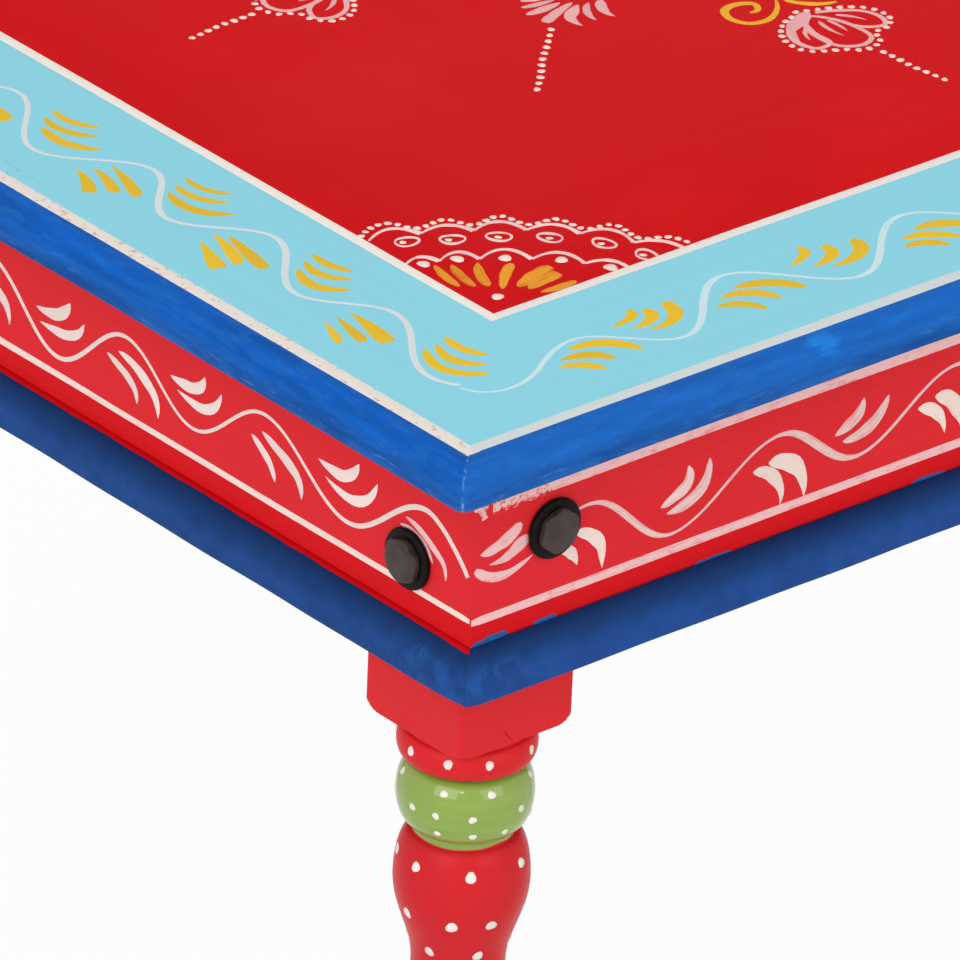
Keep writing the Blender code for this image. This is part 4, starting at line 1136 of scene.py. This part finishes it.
class TABLE_OT_medallion(bpy.types.Operator):
    """Paint the medallion in the middle of the top: lotus flowers, sprays, scrolls and a rosette"""

    bl_idname = "coffee_table.medallion"
    bl_label = "Medallion"

    def execute(self, context):
        sizes, paints = context.scene.table_sizes, context.scene.table_paints
        lift, dot_lift = sizes.paint_lift, sizes.dot_lift
        pink = stroke_finish("lotus_paint", paints.lotus_pink, shade(paints.red, 1.2), cover=0.60, edge=0.1)
        orange = stroke_finish(
            "scroll_paint", (0.925, 0.695, 0.175), (0.88, 0.52, 0.15), cover=0.58, edge=0.1
        )
        cream = stroke_finish(
            "medallion_dot_paint", (0.935, 0.835, 0.785), shade(paints.red, 1.12), cover=0.66
        )
        strokes = [*LOTUS_PETALS, *LOTUS_VEINS, *LOTUS_FILL]
        widths = [2.1] * 3 + [1.8] * 4 + [5.4, 3.8]
        swells = [(0.08, 0.12)] * 3 + [(0.3, 0.8)] * 4 + [(0.4, 0.5), (0.3, 0.6)]
        lotus = on_field(brushed(strokes, widths, swells, lift, seed=51, count=24, waver=0.12), LOTUS_SHIFT)
        part = brushed(PALMETTE, PALMETTE_WIDTHS, PALMETTE_SWELLS, lift, seed=52, count=24, waver=0.08)
        spray = on_field(part)
        leaf = np.array(ROSETTE_LEAF)
        petals = [self.turned(leaf, ROSETTE_REACH, math.radians(angle)) for angle in (202.5, 247.5)]
        rosette = on_field(brushed(petals, [1.9] * 2, (0.08, 0.12), lift, seed=50, count=24, waver=0.14))
        painted(context, "medallion_petals", joined(lotus, spray, rosette), pink, "top_paint")
        part = brushed(SCROLLS, [3.0, 2.8], (0.25, 0.35), lift, seed=53, count=36, waver=0.12)
        scrolls = on_field(part, LOTUS_SHIFT)
        ring = self.circle(np.linspace(184, 266, 9))
        hoops = [ring * radius for radius in HOOP_RADII]
        hoops = on_field(brushed(hoops, [2.2, 2.0], (0.2, 0.3), lift, seed=59, count=36, waver=0.12))
        painted(context, "medallion_scrolls", joined(scrolls, hoops), orange, "top_paint")
        loop = self.circle(np.arange(180, 270, 10))
        outline = joined(
            flat_dabs(spaced(LOTUS_OUTLINE, gap=4.0), diameter=2.5, lift=dot_lift, seed=54),
            flat_dabs(spaced(LOTUS_TAIL, gap=4.0), diameter=2.7, lift=dot_lift, seed=55),
        )
        rest = joined(
            flat_dabs(spaced(SPRAY_TAIL, gap=4.6), diameter=2.7, lift=dot_lift, seed=56),
            flat_dabs(loop * DOT_RING_RADII[0], diameter=2.8, lift=dot_lift, seed=57),
            flat_dabs(loop[::2] * DOT_RING_RADII[1], diameter=2.6, lift=dot_lift, seed=58),
        )
        dots = joined(on_field(outline, LOTUS_SHIFT), on_field(rest))
        painted(context, "medallion_dots", dots, cream, "top_paint")
        return {"FINISHED"}

    def circle(self, degrees):
        """Points on a circle of radius one."""
        turn = np.radians(degrees)
        return np.stack([np.cos(turn), np.sin(turn)], -1)

    def turned(self, leaf, reach, turn):
        """A leaf outline with its foot at a reach from the middle, pointing out at the given turn."""
        ray, side = np.array([math.cos(turn), math.sin(turn)]), np.array([-math.sin(turn), math.cos(turn)])
        return ray * reach + leaf[:, :1] * side + leaf[:, 1:] * ray


class TABLE_OT_rails(bpy.types.Operator):
    """Paint the rails and make the mouldings: a rounded section carried along each side to its mitres"""

    bl_idname = "coffee_table.rails"
    bl_label = "Rails and mouldings"

    def execute(self, context):
        sizes, paints = context.scene.table_sizes, context.scene.table_paints
        red = rail_finish(paints)
        coat(red, "apron_")
        films = loft("rail_corner_paint", self.corner_films())
        piece(context, "rail_corner_paint", films, red, "apron_paint")
        low, high = MOULDING_LOW[2], MOULDING_HIGH[2]
        tip, arris = RAIL_FACE + sizes.moulding_reach, sizes.moulding_arris
        angle, soft = np.linspace(0, np.pi / 2, 13), np.linspace(0, np.pi / 2, 5)
        rounded = RAIL_FACE + sizes.moulding_reach * np.sin(angle)
        front = np.concatenate([rounded, tip - arris * (1 - np.cos(soft))])
        level = np.concatenate([
            [low, high], high - sizes.moulding_round * (1 - np.cos(angle)), low + arris * (1 - np.sin(soft)),
        ])
        share = np.linspace(-1, 1, 90)[:, None]
        material = moulding_finish(paints)
        backs = {side: reach_of(f"moulding_{side}", outward)[0] for side, (_, outward) in SIDES.items()}
        for number, (side, (along, outward)) in enumerate(SIDES.items()):
            next_side, worn_run = MOULDING_ENDS[side]
            out = np.concatenate([[backs[side]] * 2, front])
            waver = np.sin(11 * share + number) + np.sin(29 * share + 2 * number)
            waver = MOULDING_WAVER * waver * (1 - share ** 8)
            worn = sizes.corner_wear * np.exp(-(1 - np.abs(share)) * tip / worn_run)
            reach = out + (waver - worn) * np.clip((out - RAIL_FACE) / sizes.moulding_reach, 0, 1)
            half = tip - (tip - reach) * (tip - backs[next_side]) / (tip - backs[side])
            rings = (share * half)[..., None] * np.array(along) + reach[..., None] * np.array(outward)
            rings = rings + level[:, None] * np.array((0, 0, 1))
            name = f"moulding_{side}_fine"
            mesh = loft(name, rings[None], crease=40)
            piece(context, name, mesh, material, "moulding_paint", f"moulding_{side}")
        return {"FINISHED"}

    def corner_films(self):
        """Paint over the four mitres: a thin upright film from one face round the corner to the next."""
        arm = np.array([9.0, 4.0, 1.0, 0.2, 0.0, 0.0, 0.0, 0.0, 0.0]) / 1000
        over = np.array([-0.08, 0.0, 0.03, 0.04, 0.04, 0.04, 0.03, 0.0, -0.08])[:, None] / 1000
        outer = np.stack([arm[::-1], arm], -1) - RAIL_FACE - over
        inner = outer + 0.0003
        low, high = np.full(len(arm), RAIL_FOOT), np.full(len(arm), RAIL_HIGH[2])
        corners = [(outer, low), (outer, high), (inner, high), (inner, low)]
        ring = np.stack([np.concatenate([flat, level[:, None]], -1) for flat, level in corners], 1)
        return np.stack([quarter_turned(ring, times) for times in range(4)])


class TABLE_OT_rail_ornament(bpy.types.Operator):
    """Paint the lines, vine and leaves on the rails"""

    bl_idname = "coffee_table.rail_ornament"
    bl_label = "Rail ornament"

    def execute(self, context):
        sizes, paints = context.scene.table_sizes, context.scene.table_paints
        lift = sizes.paint_lift
        rng = np.random.default_rng(61)
        thin = shade(paints.rail_red, 1.12)
        white = stroke_finish("left_rail_white", paints.rail_white, thin, cover=0.64, edge=0.06)
        rosy = stroke_finish(
            "front_rail_white", (0.925, 0.79, 0.775), (0.88, 0.56, 0.56), cover=0.48, edge=0.1
        )
        pink = stroke_finish(
            "rail_pink_paint", (0.92, 0.73, 0.73), (0.88, 0.52, 0.52), cover=0.52, edge=0.08, grain=2.0
        )
        ragged = stroke_finish(
            "rail_ragged_paint", (0.93, 0.76, 0.75), paints.rail_red, cover=0.46, edge=0.2, grain=9.0
        )
        cream = stroke_finish(
            "rail_cream_paint", (0.93, 0.84, 0.80), (0.90, 0.70, 0.66), cover=0.54, edge=0.05
        )
        blue = stroke_finish(
            "smear_paint", (0.15, 0.36, 0.62), paints.moulding_blue, cover=0.5, edge=0.0, grain=3.0
        )
        along = np.linspace(0, 1, 24)
        for side, material in (("left", cream), ("front", pink)):
            paths = []
            for start, level in zip(RAIL_LINE_STARTS[side], RAIL_LINE_HEIGHTS[side]):
                waver = np.clip(0.2 * rng.standard_normal(len(along)).cumsum() / 3, -0.5, 0.5)
                paths.append(np.stack([start + (RAIL_LENGTH - 0.3 - start) * along, level + waver], -1))
            part = brushed(paths, RAIL_LINE_WIDTHS[side], EVEN, lift, seed=62, count=200, waver=0.12)
            painted(context, f"rail_lines_{side}", on_rail(side, part), material, "apron_paint")
        left = wave_turns(LEFT_RAIL_VINE_TURNS, LEFT_RAIL_VINE_STEP, RAIL_VINE_END)
        front = wave_turns(FRONT_RAIL_VINE_TURNS, FRONT_RAIL_VINE_STEP, RAIL_VINE_END)
        vines = (
            ("left", LEFT_RAIL_VINE_START, left, 1.6, (0.008, 0.02), None, (1.6, 40), white),
            ("front", FRONT_RAIL_VINE_START, front, 3.3, (0.02, 0.02), (20, 0.34), None, rosy),
        )
        for number, (side, start, turns, width, swell, nib, heavy, material) in enumerate(vines):
            path = wave_path(start, turns, count=220)
            part = brushed(
                [path], [width], swell, lift, seed=63 + number, count=300, waver=0.2, nib=nib, heavy=heavy
            )
            painted(context, f"rail_vine_{side}", on_rail(side, part), material, "apron_paint")
        left, front = left[:, 0], front[:, 0]
        heights, lower_widths = ("upper", "lower", "upper", "lower"), FRONT_RAIL_LOWER_WIDTHS
        groups = (
            ("left", LEFT_RAIL_UPPER_LEAVES, left[1:6:2], left[7::2], (4.6, 3.8), (0.8, 0.6), white),
            ("left", LEFT_RAIL_LOWER_LEAVES, left[2:5:2], left[6::2] + 8.5, (4.3, 3.5), (0.6, 0.6), white),
            ("front", FRONT_RAIL_UPPER_LEAVES, front[1:4:2], front[5::2], (5.0, 5.0), (0.6, 0.55), rosy),
            ("front", FRONT_RAIL_LOWER_LEAVES, front[0:5:2], front[6::2], lower_widths, (0.5, 0.85), cream),
        )
        for number, (side, strokes, anchors, places, widths, swell, material) in enumerate(groups):
            paths = carried_on(strokes, per_group=2, anchors=anchors, places=places)
            every = np.resize(widths, len(paths))
            part = brushed(paths, every, swell, lift, seed=66 + number, count=14, waver=0.1)
            name = f"rail_leaves_{side}_{heights[number]}"
            painted(context, name, on_rail(side, part), material, "apron_paint")
        widths, bends = (5.4, 5.0, 3.8), ((0.6, 0.36), (0.9, 0.25), (0.14, 0.6))
        marks = (
            ("rail_leaves_corner", "front", FRONT_RAIL_CORNER_LEAVES, widths, bends, 71, 16, 0.12, pink),
            ("rail_leaves_end", "left", LEFT_RAIL_CORNER_LEAVES, (3.0, 2.5), (0.6, 0.6), 75, 16, 0.1, pink),
            ("rail_dabs", "front", RAIL_CORNER_DABS, (3.4, 3.8, 6.2), (0.12, 0.12), 72, 30, 0.2, ragged),
            ("rail_dab_end", "left", RAIL_CORNER_END, (2.2,), (0.05, 0.5), 74, 12, 0.2, ragged),
            ("rail_smears", "front", RAIL_FOOT_SMEARS, RAIL_SMEAR_WIDTHS, (0.2, 0.25), 73, 20, 0.3, blue),
        )
        for name, side, strokes, widths, swells, seed, count, waver, material in marks:
            part = brushed(strokes, widths, swells, lift, seed, count, waver)
            slot = "moulding_paint" if material is blue else "apron_paint"
            painted(context, name, on_rail(side, part), material, slot)
        return {"FINISHED"}


def leg_axis(leg):
    """The place of a packed leg's axis on the floor."""
    low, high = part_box(f"leg_{leg}")
    return np.array([(low[0] + high[0]) / 2, (low[1] + high[1]) / 2, 0.0])


def bead(top, low, edge, wide):
    """Heights and radii of a turned bead: half an ellipse."""
    half = np.linspace(0, np.pi, 22)
    return top - (top - low) * (1 - np.cos(half)) / 2, edge + (wide - edge) * np.sin(half)


def shoulder(top, low, edge, wide):
    """Heights and radii of a turned shoulder: a quarter of an ellipse from a neck out to its widest place."""
    quarter = np.linspace(0, np.pi / 2, 12)
    return top - (top - low) * (1 - np.cos(quarter)), edge + (wide - edge) * np.sin(quarter)


def taper(top, low, start, end):
    """Heights and radii of a run that eases from one radius to the next."""
    share = np.linspace(0, 1, 16)[1:]
    return top - (top - low) * share, start + (end - start) * (1 - np.cos(np.pi * share)) / 2


def leg_outline():
    """Heights and radii of the turned leg from under the block to the floor, as two arrays."""
    parts = (
        bead(0.2540, 0.2434, 0.0207, 0.0234),  # ring
        bead(0.2415, 0.2183, 0.0175, 0.0230),  # green ball
        shoulder(0.2150, 0.1975, 0.0173, 0.0228),  # vase
        taper(0.1975, 0.1655, 0.0228, 0.01575),
        taper(0.1655, 0.1050, 0.01575, 0.0135),  # shaft
        bead(0.1050, 0.0960, 0.0155, 0.0190),  # lower ring
        bead(0.0940, 0.0700, 0.0155, 0.0210),  # lower green ball
        shoulder(0.0660, 0.0520, 0.0155, 0.0185),
        taper(0.0520, 0.0010, 0.0185, 0.0125),  # foot
        ((0.0004, 0.0), (0.0121, 0.0115)),
    )
    return joined(*parts)


class TABLE_OT_legs(bpy.types.Operator):
    """Make the legs: the least of a square block and a turned outline, as a radius by angle and height"""

    bl_idname = "coffee_table.legs"
    bl_label = "Legs"

    def execute(self, context):
        sizes, paints = context.scene.table_sizes, context.scene.table_paints
        half = sizes.block_side / 2
        corner = half * math.sqrt(2)
        block = rounded_squares([half], [BLOCK_ARRIS], sides=28, corners=5)[0]
        square = np.linalg.norm(block, axis=1)
        angle = np.linspace(0, np.pi / 2, 24)
        block_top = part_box("leg_front_left")[1][2]
        straight = np.linspace(block_top - 0.02, BLOCK_FOOT + 0.008, 8)
        turned_level, turned = leg_outline()
        level = np.concatenate([
            [block_top, block_top - 0.0006],
            straight,
            BLOCK_FOOT + SHOULDER_HEIGHT * (1 - np.sin(angle)),
            [BLOCK_FOOT, BLOCK_FOOT - 0.0004],
            turned_level,
        ])
        reach = np.concatenate([
            [corner - 0.0006, corner],
            np.full(len(straight), corner),
            SHOULDER_RADIUS + (corner - SHOULDER_RADIUS) * np.cos(angle),
            NECK_RADII,
            turned,
        ])
        radius = np.minimum(square[None, :], reach[:, None])
        rings = at_levels(radius[..., None] * (block / square[:, None]), level)
        material = leg_finish(paints)
        for number, leg in enumerate(LEGS):
            placed = quarter_turned(rings, number) + leg_axis(leg)
            name = f"leg_{leg}_fine"
            piece(context, name, loft(name, placed[None], crease=38), material, "leg_paint", f"leg_{leg}")
        face = leg_axis("front_left")[1] - half
        lift = sizes.paint_lift / 2
        rings, values = brushed(BLOCK_CRACK, [0.42], (0.4, 0.4), lift, seed=79, count=12, waver=0.2)
        rings = laid(rings, (0, face, 0), (1, 0, 0), (0, 0, 1), (0, -1, 0))
        dark = stroke_finish("crack_paint", (0.56, 0.10, 0.11), paints.leg_red, cover=0.6)
        painted(context, "leg_crack", (rings, values), dark, "leg_paint")
        return {"FINISHED"}


class TABLE_OT_leg_dots(bpy.types.Operator):
    """Paint the rows of white dots round the turned legs"""

    bl_idname = "coffee_table.leg_dots"
    bl_label = "Leg dots"

    def execute(self, context):
        sizes, paints = context.scene.table_sizes, context.scene.table_paints
        material = stroke_finish("leg_dot_paint", paints.cream, shade(paints.leg_red, 1.2), cover=0.72)
        levels, diameters, angles = zip(*LEG_DOT_ROWS)
        counts = [len(row) for row in angles]
        height, width = np.repeat(levels, counts) / 1000, np.repeat(diameters, counts) / 1000
        angle = np.radians(np.concatenate(angles))
        level, radius = (values[::-1] for values in leg_outline())
        step = 0.0006
        reach, above, below = (np.interp(height + move, level, radius) for move in (0, step, -step))
        slope = (above - below) / (2 * step)
        for number, leg in enumerate(LEGS):
            rng = np.random.default_rng(80 + number)
            jitter = rng.normal(0, DOT_STRAY, (2, len(angle))) * (number > 0)
            a = angle + number * math.pi / 2 + jitter[0] / reach
            out = np.stack([np.cos(a), np.sin(a), -slope], -1)
            out /= np.linalg.norm(out, axis=1, keepdims=True)
            round_it = np.stack([-np.sin(a), np.cos(a), np.zeros(len(a))], -1)
            middle = np.stack([reach * np.cos(a), reach * np.sin(a), height], -1) + leg_axis(leg)
            up = np.cross(out, round_it)
            part = dabs(middle, round_it, up, out, width * DOT_RADIUS_SHARE, sizes.dot_lift, 84 + number)
            painted(context, f"leg_{leg}_dots", part, material, "leg_paint")
        return {"FINISHED"}


class TABLE_OT_fasteners(bpy.types.Operator):
    """Make the bolts and washers, and finish the inserts, screws and cleats inside"""

    bl_idname = "coffee_table.fasteners"
    bl_label = "Bolts, washers and hidden fittings"

    def execute(self, context):
        sizes, paints = context.scene.table_sizes, context.scene.table_paints
        # Both take the one black paint: the heads a lighter copy, a painted sheen, and the washers a much
        # darker copy, their own blacker finish with painted shade from the heads.
        bolt_black_lit, washer_black_shaded = shade(paints.black, 1.12), shade(paints.black, 0.4)
        black = metal_finish(
            "black_steel", bolt_black_lit, metallic=0.0, roughness=0.30, wear=(0.36, 0.32, 0.30), specular=0.2
        )
        dark = metal_finish(
            "washer_steel", washer_black_shaded, metallic=0.0, roughness=0.30, wear=(0.12, 0.09, 0.09), specular=0.06
        )
        zinc = metal_finish("zinc_steel", paints.zinc, metallic=1.0, roughness=0.28, wear=(0.55, 0.55, 0.52))
        coat(zinc, "insert_")
        zinc = metal_finish("screw_zinc", paints.zinc, metallic=1.0, roughness=0.3, wear=(0.5, 0.5, 0.47))
        coat(zinc, "cleat_screw_")
        wood = wood_finish(paints)
        for side in SIDES:
            coat(wood, f"cleat_{side}")
        turn = np.arange(60) * np.pi / 30
        spread = np.abs(np.cos(turn[:, None] + math.radians(HEAD_TURN) - np.arange(3) * np.pi / 3))
        hexagon = sizes.head_flats / 2 * (spread ** HEAD_POWER).sum(1) ** (-1 / HEAD_POWER)
        bolt_radius = np.minimum(hexagon, np.array(BOLT_RADII)[:, None])
        rim = sizes.washer_radius
        edge = np.array([WASHER_BORE, rim - 0.0004, rim, rim, rim - 0.0003, rim - 0.0008, WASHER_BORE])
        washer_radius = np.broadcast_to(edge[:, None], (len(edge), len(turn)))
        for side in SIDES:
            for place in ("high", "low"):
                bolt, washer = f"bolt_{side}_{place}", f"washer_{side}_{place}"
                middle = np.mean(np.stack(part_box(bolt)), 0)
                tip, head = reach_of(bolt, SIDES[side][1])
                seat = head - HEAD_HEIGHT + np.array([-0.0001, 0.0, 0.0003])
                crown = head - np.array([0.0008, 0.0004, 0.0001, 0.0, 0.0])
                out = np.concatenate([[tip, tip + 0.0006], seat, crown])
                self.turned(context, bolt, side, middle, out, bolt_radius, turn, black, True, 35)
                back, face = reach_of(washer, SIDES[side][1])
                out = np.array([back, back, back + 0.0005, face - 0.0006, face - 0.0002, face, face])
                self.turned(context, washer, side, middle, out, washer_radius, turn, dark, False, 45)
        return {"FINISHED"}

    def turned(self, context, node, side, middle, out, radius, turn, material, ends, crease):
        """A radius by angle and distance out, about the bolt's axis."""
        across, axis = np.array(SIDES[side], float)
        up = np.array((0.0, 0.0, 1.0))
        base = middle - axis * (middle @ axis)
        rings = base + (radius * np.cos(turn))[..., None] * across + (radius * np.sin(turn))[..., None] * up
        rings = rings + out[:, None, None] * axis
        mesh = loft(f"{node}_fine", rings[None], ends, crease=crease)
        piece(context, f"{node}_fine", mesh, material, "black_steel", node)


class TABLE_OT_stage(bpy.types.Operator):
    """Set the pale floor, the soft lamps, the white surround and the camera"""

    bl_idname = "coffee_table.stage"
    bl_label = "Stage"

    def execute(self, context):
        scene = context.scene
        scene.view_settings.view_transform = "Standard"
        mesh = bpy.data.meshes.new("floor")
        signs = ((-1, -1), (1, -1), (1, 1), (-1, 1))
        corners = [(x * FLOOR_HALF, y * FLOOR_HALF, FLOOR_LEVEL) for x, y in signs]
        mesh.from_pydata(corners, [], [(0, 1, 2, 3)])
        floor = bpy.data.objects.new("floor", mesh)
        mesh.materials.append(self.floor_finish())
        scene.collection.objects.link(floor)
        self.surround(scene)
        self.lamp(scene, "key_lamp", place=(-3.2, -1.0, 1.9), size=2.4, power=54.0)
        self.lamp(scene, "fill_lamp", place=(0.2, -3.2, 1.7), size=2.2, power=33.0)
        self.lamp(scene, "top_lamp", place=(0.5, 0.6, 3.0), size=2.6, power=7.0)
        self.lamp(scene, "glint_lamp", place=(-2.1, -2.0, 2.1), size=0.3, power=3.0)
        data = bpy.data.cameras.new("camera")
        data.sensor_width = 36.0
        data.lens = CAMERA_LENS
        data.clip_end = 60.0
        camera = bpy.data.objects.new("camera", data)
        columns = zip(CAMERA_RIGHT, CAMERA_UP, CAMERA_BACK, CAMERA_PLACE)
        camera.matrix_world = Matrix([*map(tuple, columns), (0, 0, 0, 1)])
        scene.collection.objects.link(camera)
        scene.camera = camera
        return {"FINISHED"}

    def floor_finish(self):
        """Pale matt paper that is nearly white to the camera and keeps the table's shadow."""
        finish = Finish("floor_paper", specular=0.1)
        finish.shader.inputs["Base Color"].default_value = (0.82, 0.82, 0.81, 1)
        finish.shader.inputs["Roughness"].default_value = 0.9
        glow = finish.node("ShaderNodeEmission", {})
        finish.blend(finish.tree.nodes["Material Output"], finish.white_rays() * 0.96, finish.shader, glow)
        return finish.material

    def surround(self, scene):
        """A white surround for what the camera and gloss see, and a softer one for light."""
        scene.world = scene.world or bpy.data.worlds.new("surround")
        scene.world.use_nodes = True
        scene.world.node_tree.nodes.clear()
        nodes = Nodes(scene.world.node_tree)
        colour = ("Color", (1.0, 1.0, 1.0))
        light = nodes.node("ShaderNodeBackground", {}, colour, ("Strength", 0.66))
        white = nodes.node("ShaderNodeBackground", {}, colour)
        nodes.blend(nodes.node("ShaderNodeOutputWorld", {}), nodes.white_rays(), light, white)

    def lamp(self, scene, name, place, size, power):
        """A square soft lamp aimed at the middle of the table."""
        data = bpy.data.lights.new(name, "AREA")
        data.size = size
        data.energy = power
        lamp = bpy.data.objects.new(name, data)
        lamp.location = place
        lamp.rotation_euler = (Vector(place) - Vector((0, 0, 0.3))).to_track_quat("Z", "Y").to_euler()
        scene.collection.objects.link(lamp)


class TABLE_PT_panel(bpy.types.Panel):
    """The table's operators, sizes and paints in the sidebar"""

    bl_idname = "TABLE_PT_panel"
    bl_label = "Coffee table"
    bl_space_type = "VIEW_3D"
    bl_region_type = "UI"
    bl_category = "Coffee table"

    def draw(self, context):
        for operator in OPERATORS:
            self.layout.operator(operator.bl_idname)
        for group in (context.scene.table_sizes, context.scene.table_paints):
            column = self.layout.column()
            for name in group.bl_rna.properties.keys():
                if name not in ("rna_type", "name"):
                    column.prop(group, name)


OPERATORS = (
    TABLE_OT_stage,
    TABLE_OT_top_board,
    TABLE_OT_border_lines,
    TABLE_OT_border_vine,
    TABLE_OT_border_leaves,
    TABLE_OT_corner_fans,
    TABLE_OT_medallion,
    TABLE_OT_rails,
    TABLE_OT_rail_ornament,
    TABLE_OT_legs,
    TABLE_OT_leg_dots,
    TABLE_OT_fasteners,
)
CLASSES = (TableSizes, TablePaints, *OPERATORS, TABLE_PT_panel)


def register():
    for item in CLASSES:
        bpy.utils.register_class(item)
    bpy.types.Scene.table_sizes = PointerProperty(type=TableSizes)
    bpy.types.Scene.table_paints = PointerProperty(type=TablePaints)


def unregister():
    del bpy.types.Scene.table_paints
    del bpy.types.Scene.table_sizes
    for item in reversed(CLASSES):
        bpy.utils.unregister_class(item)


def main():
    """Makes the whole scene."""
    register()
    bpy.ops.coffee_table.stage()
    bpy.ops.coffee_table.top_board()
    bpy.ops.coffee_table.border_lines()
    bpy.ops.coffee_table.border_vine()
    bpy.ops.coffee_table.border_leaves()
    bpy.ops.coffee_table.corner_fans()
    bpy.ops.coffee_table.medallion()
    bpy.ops.coffee_table.rails()
    bpy.ops.coffee_table.rail_ornament()
    bpy.ops.coffee_table.legs()
    bpy.ops.coffee_table.leg_dots()
    bpy.ops.coffee_table.fasteners()


if __name__ == "__main__":
    main()
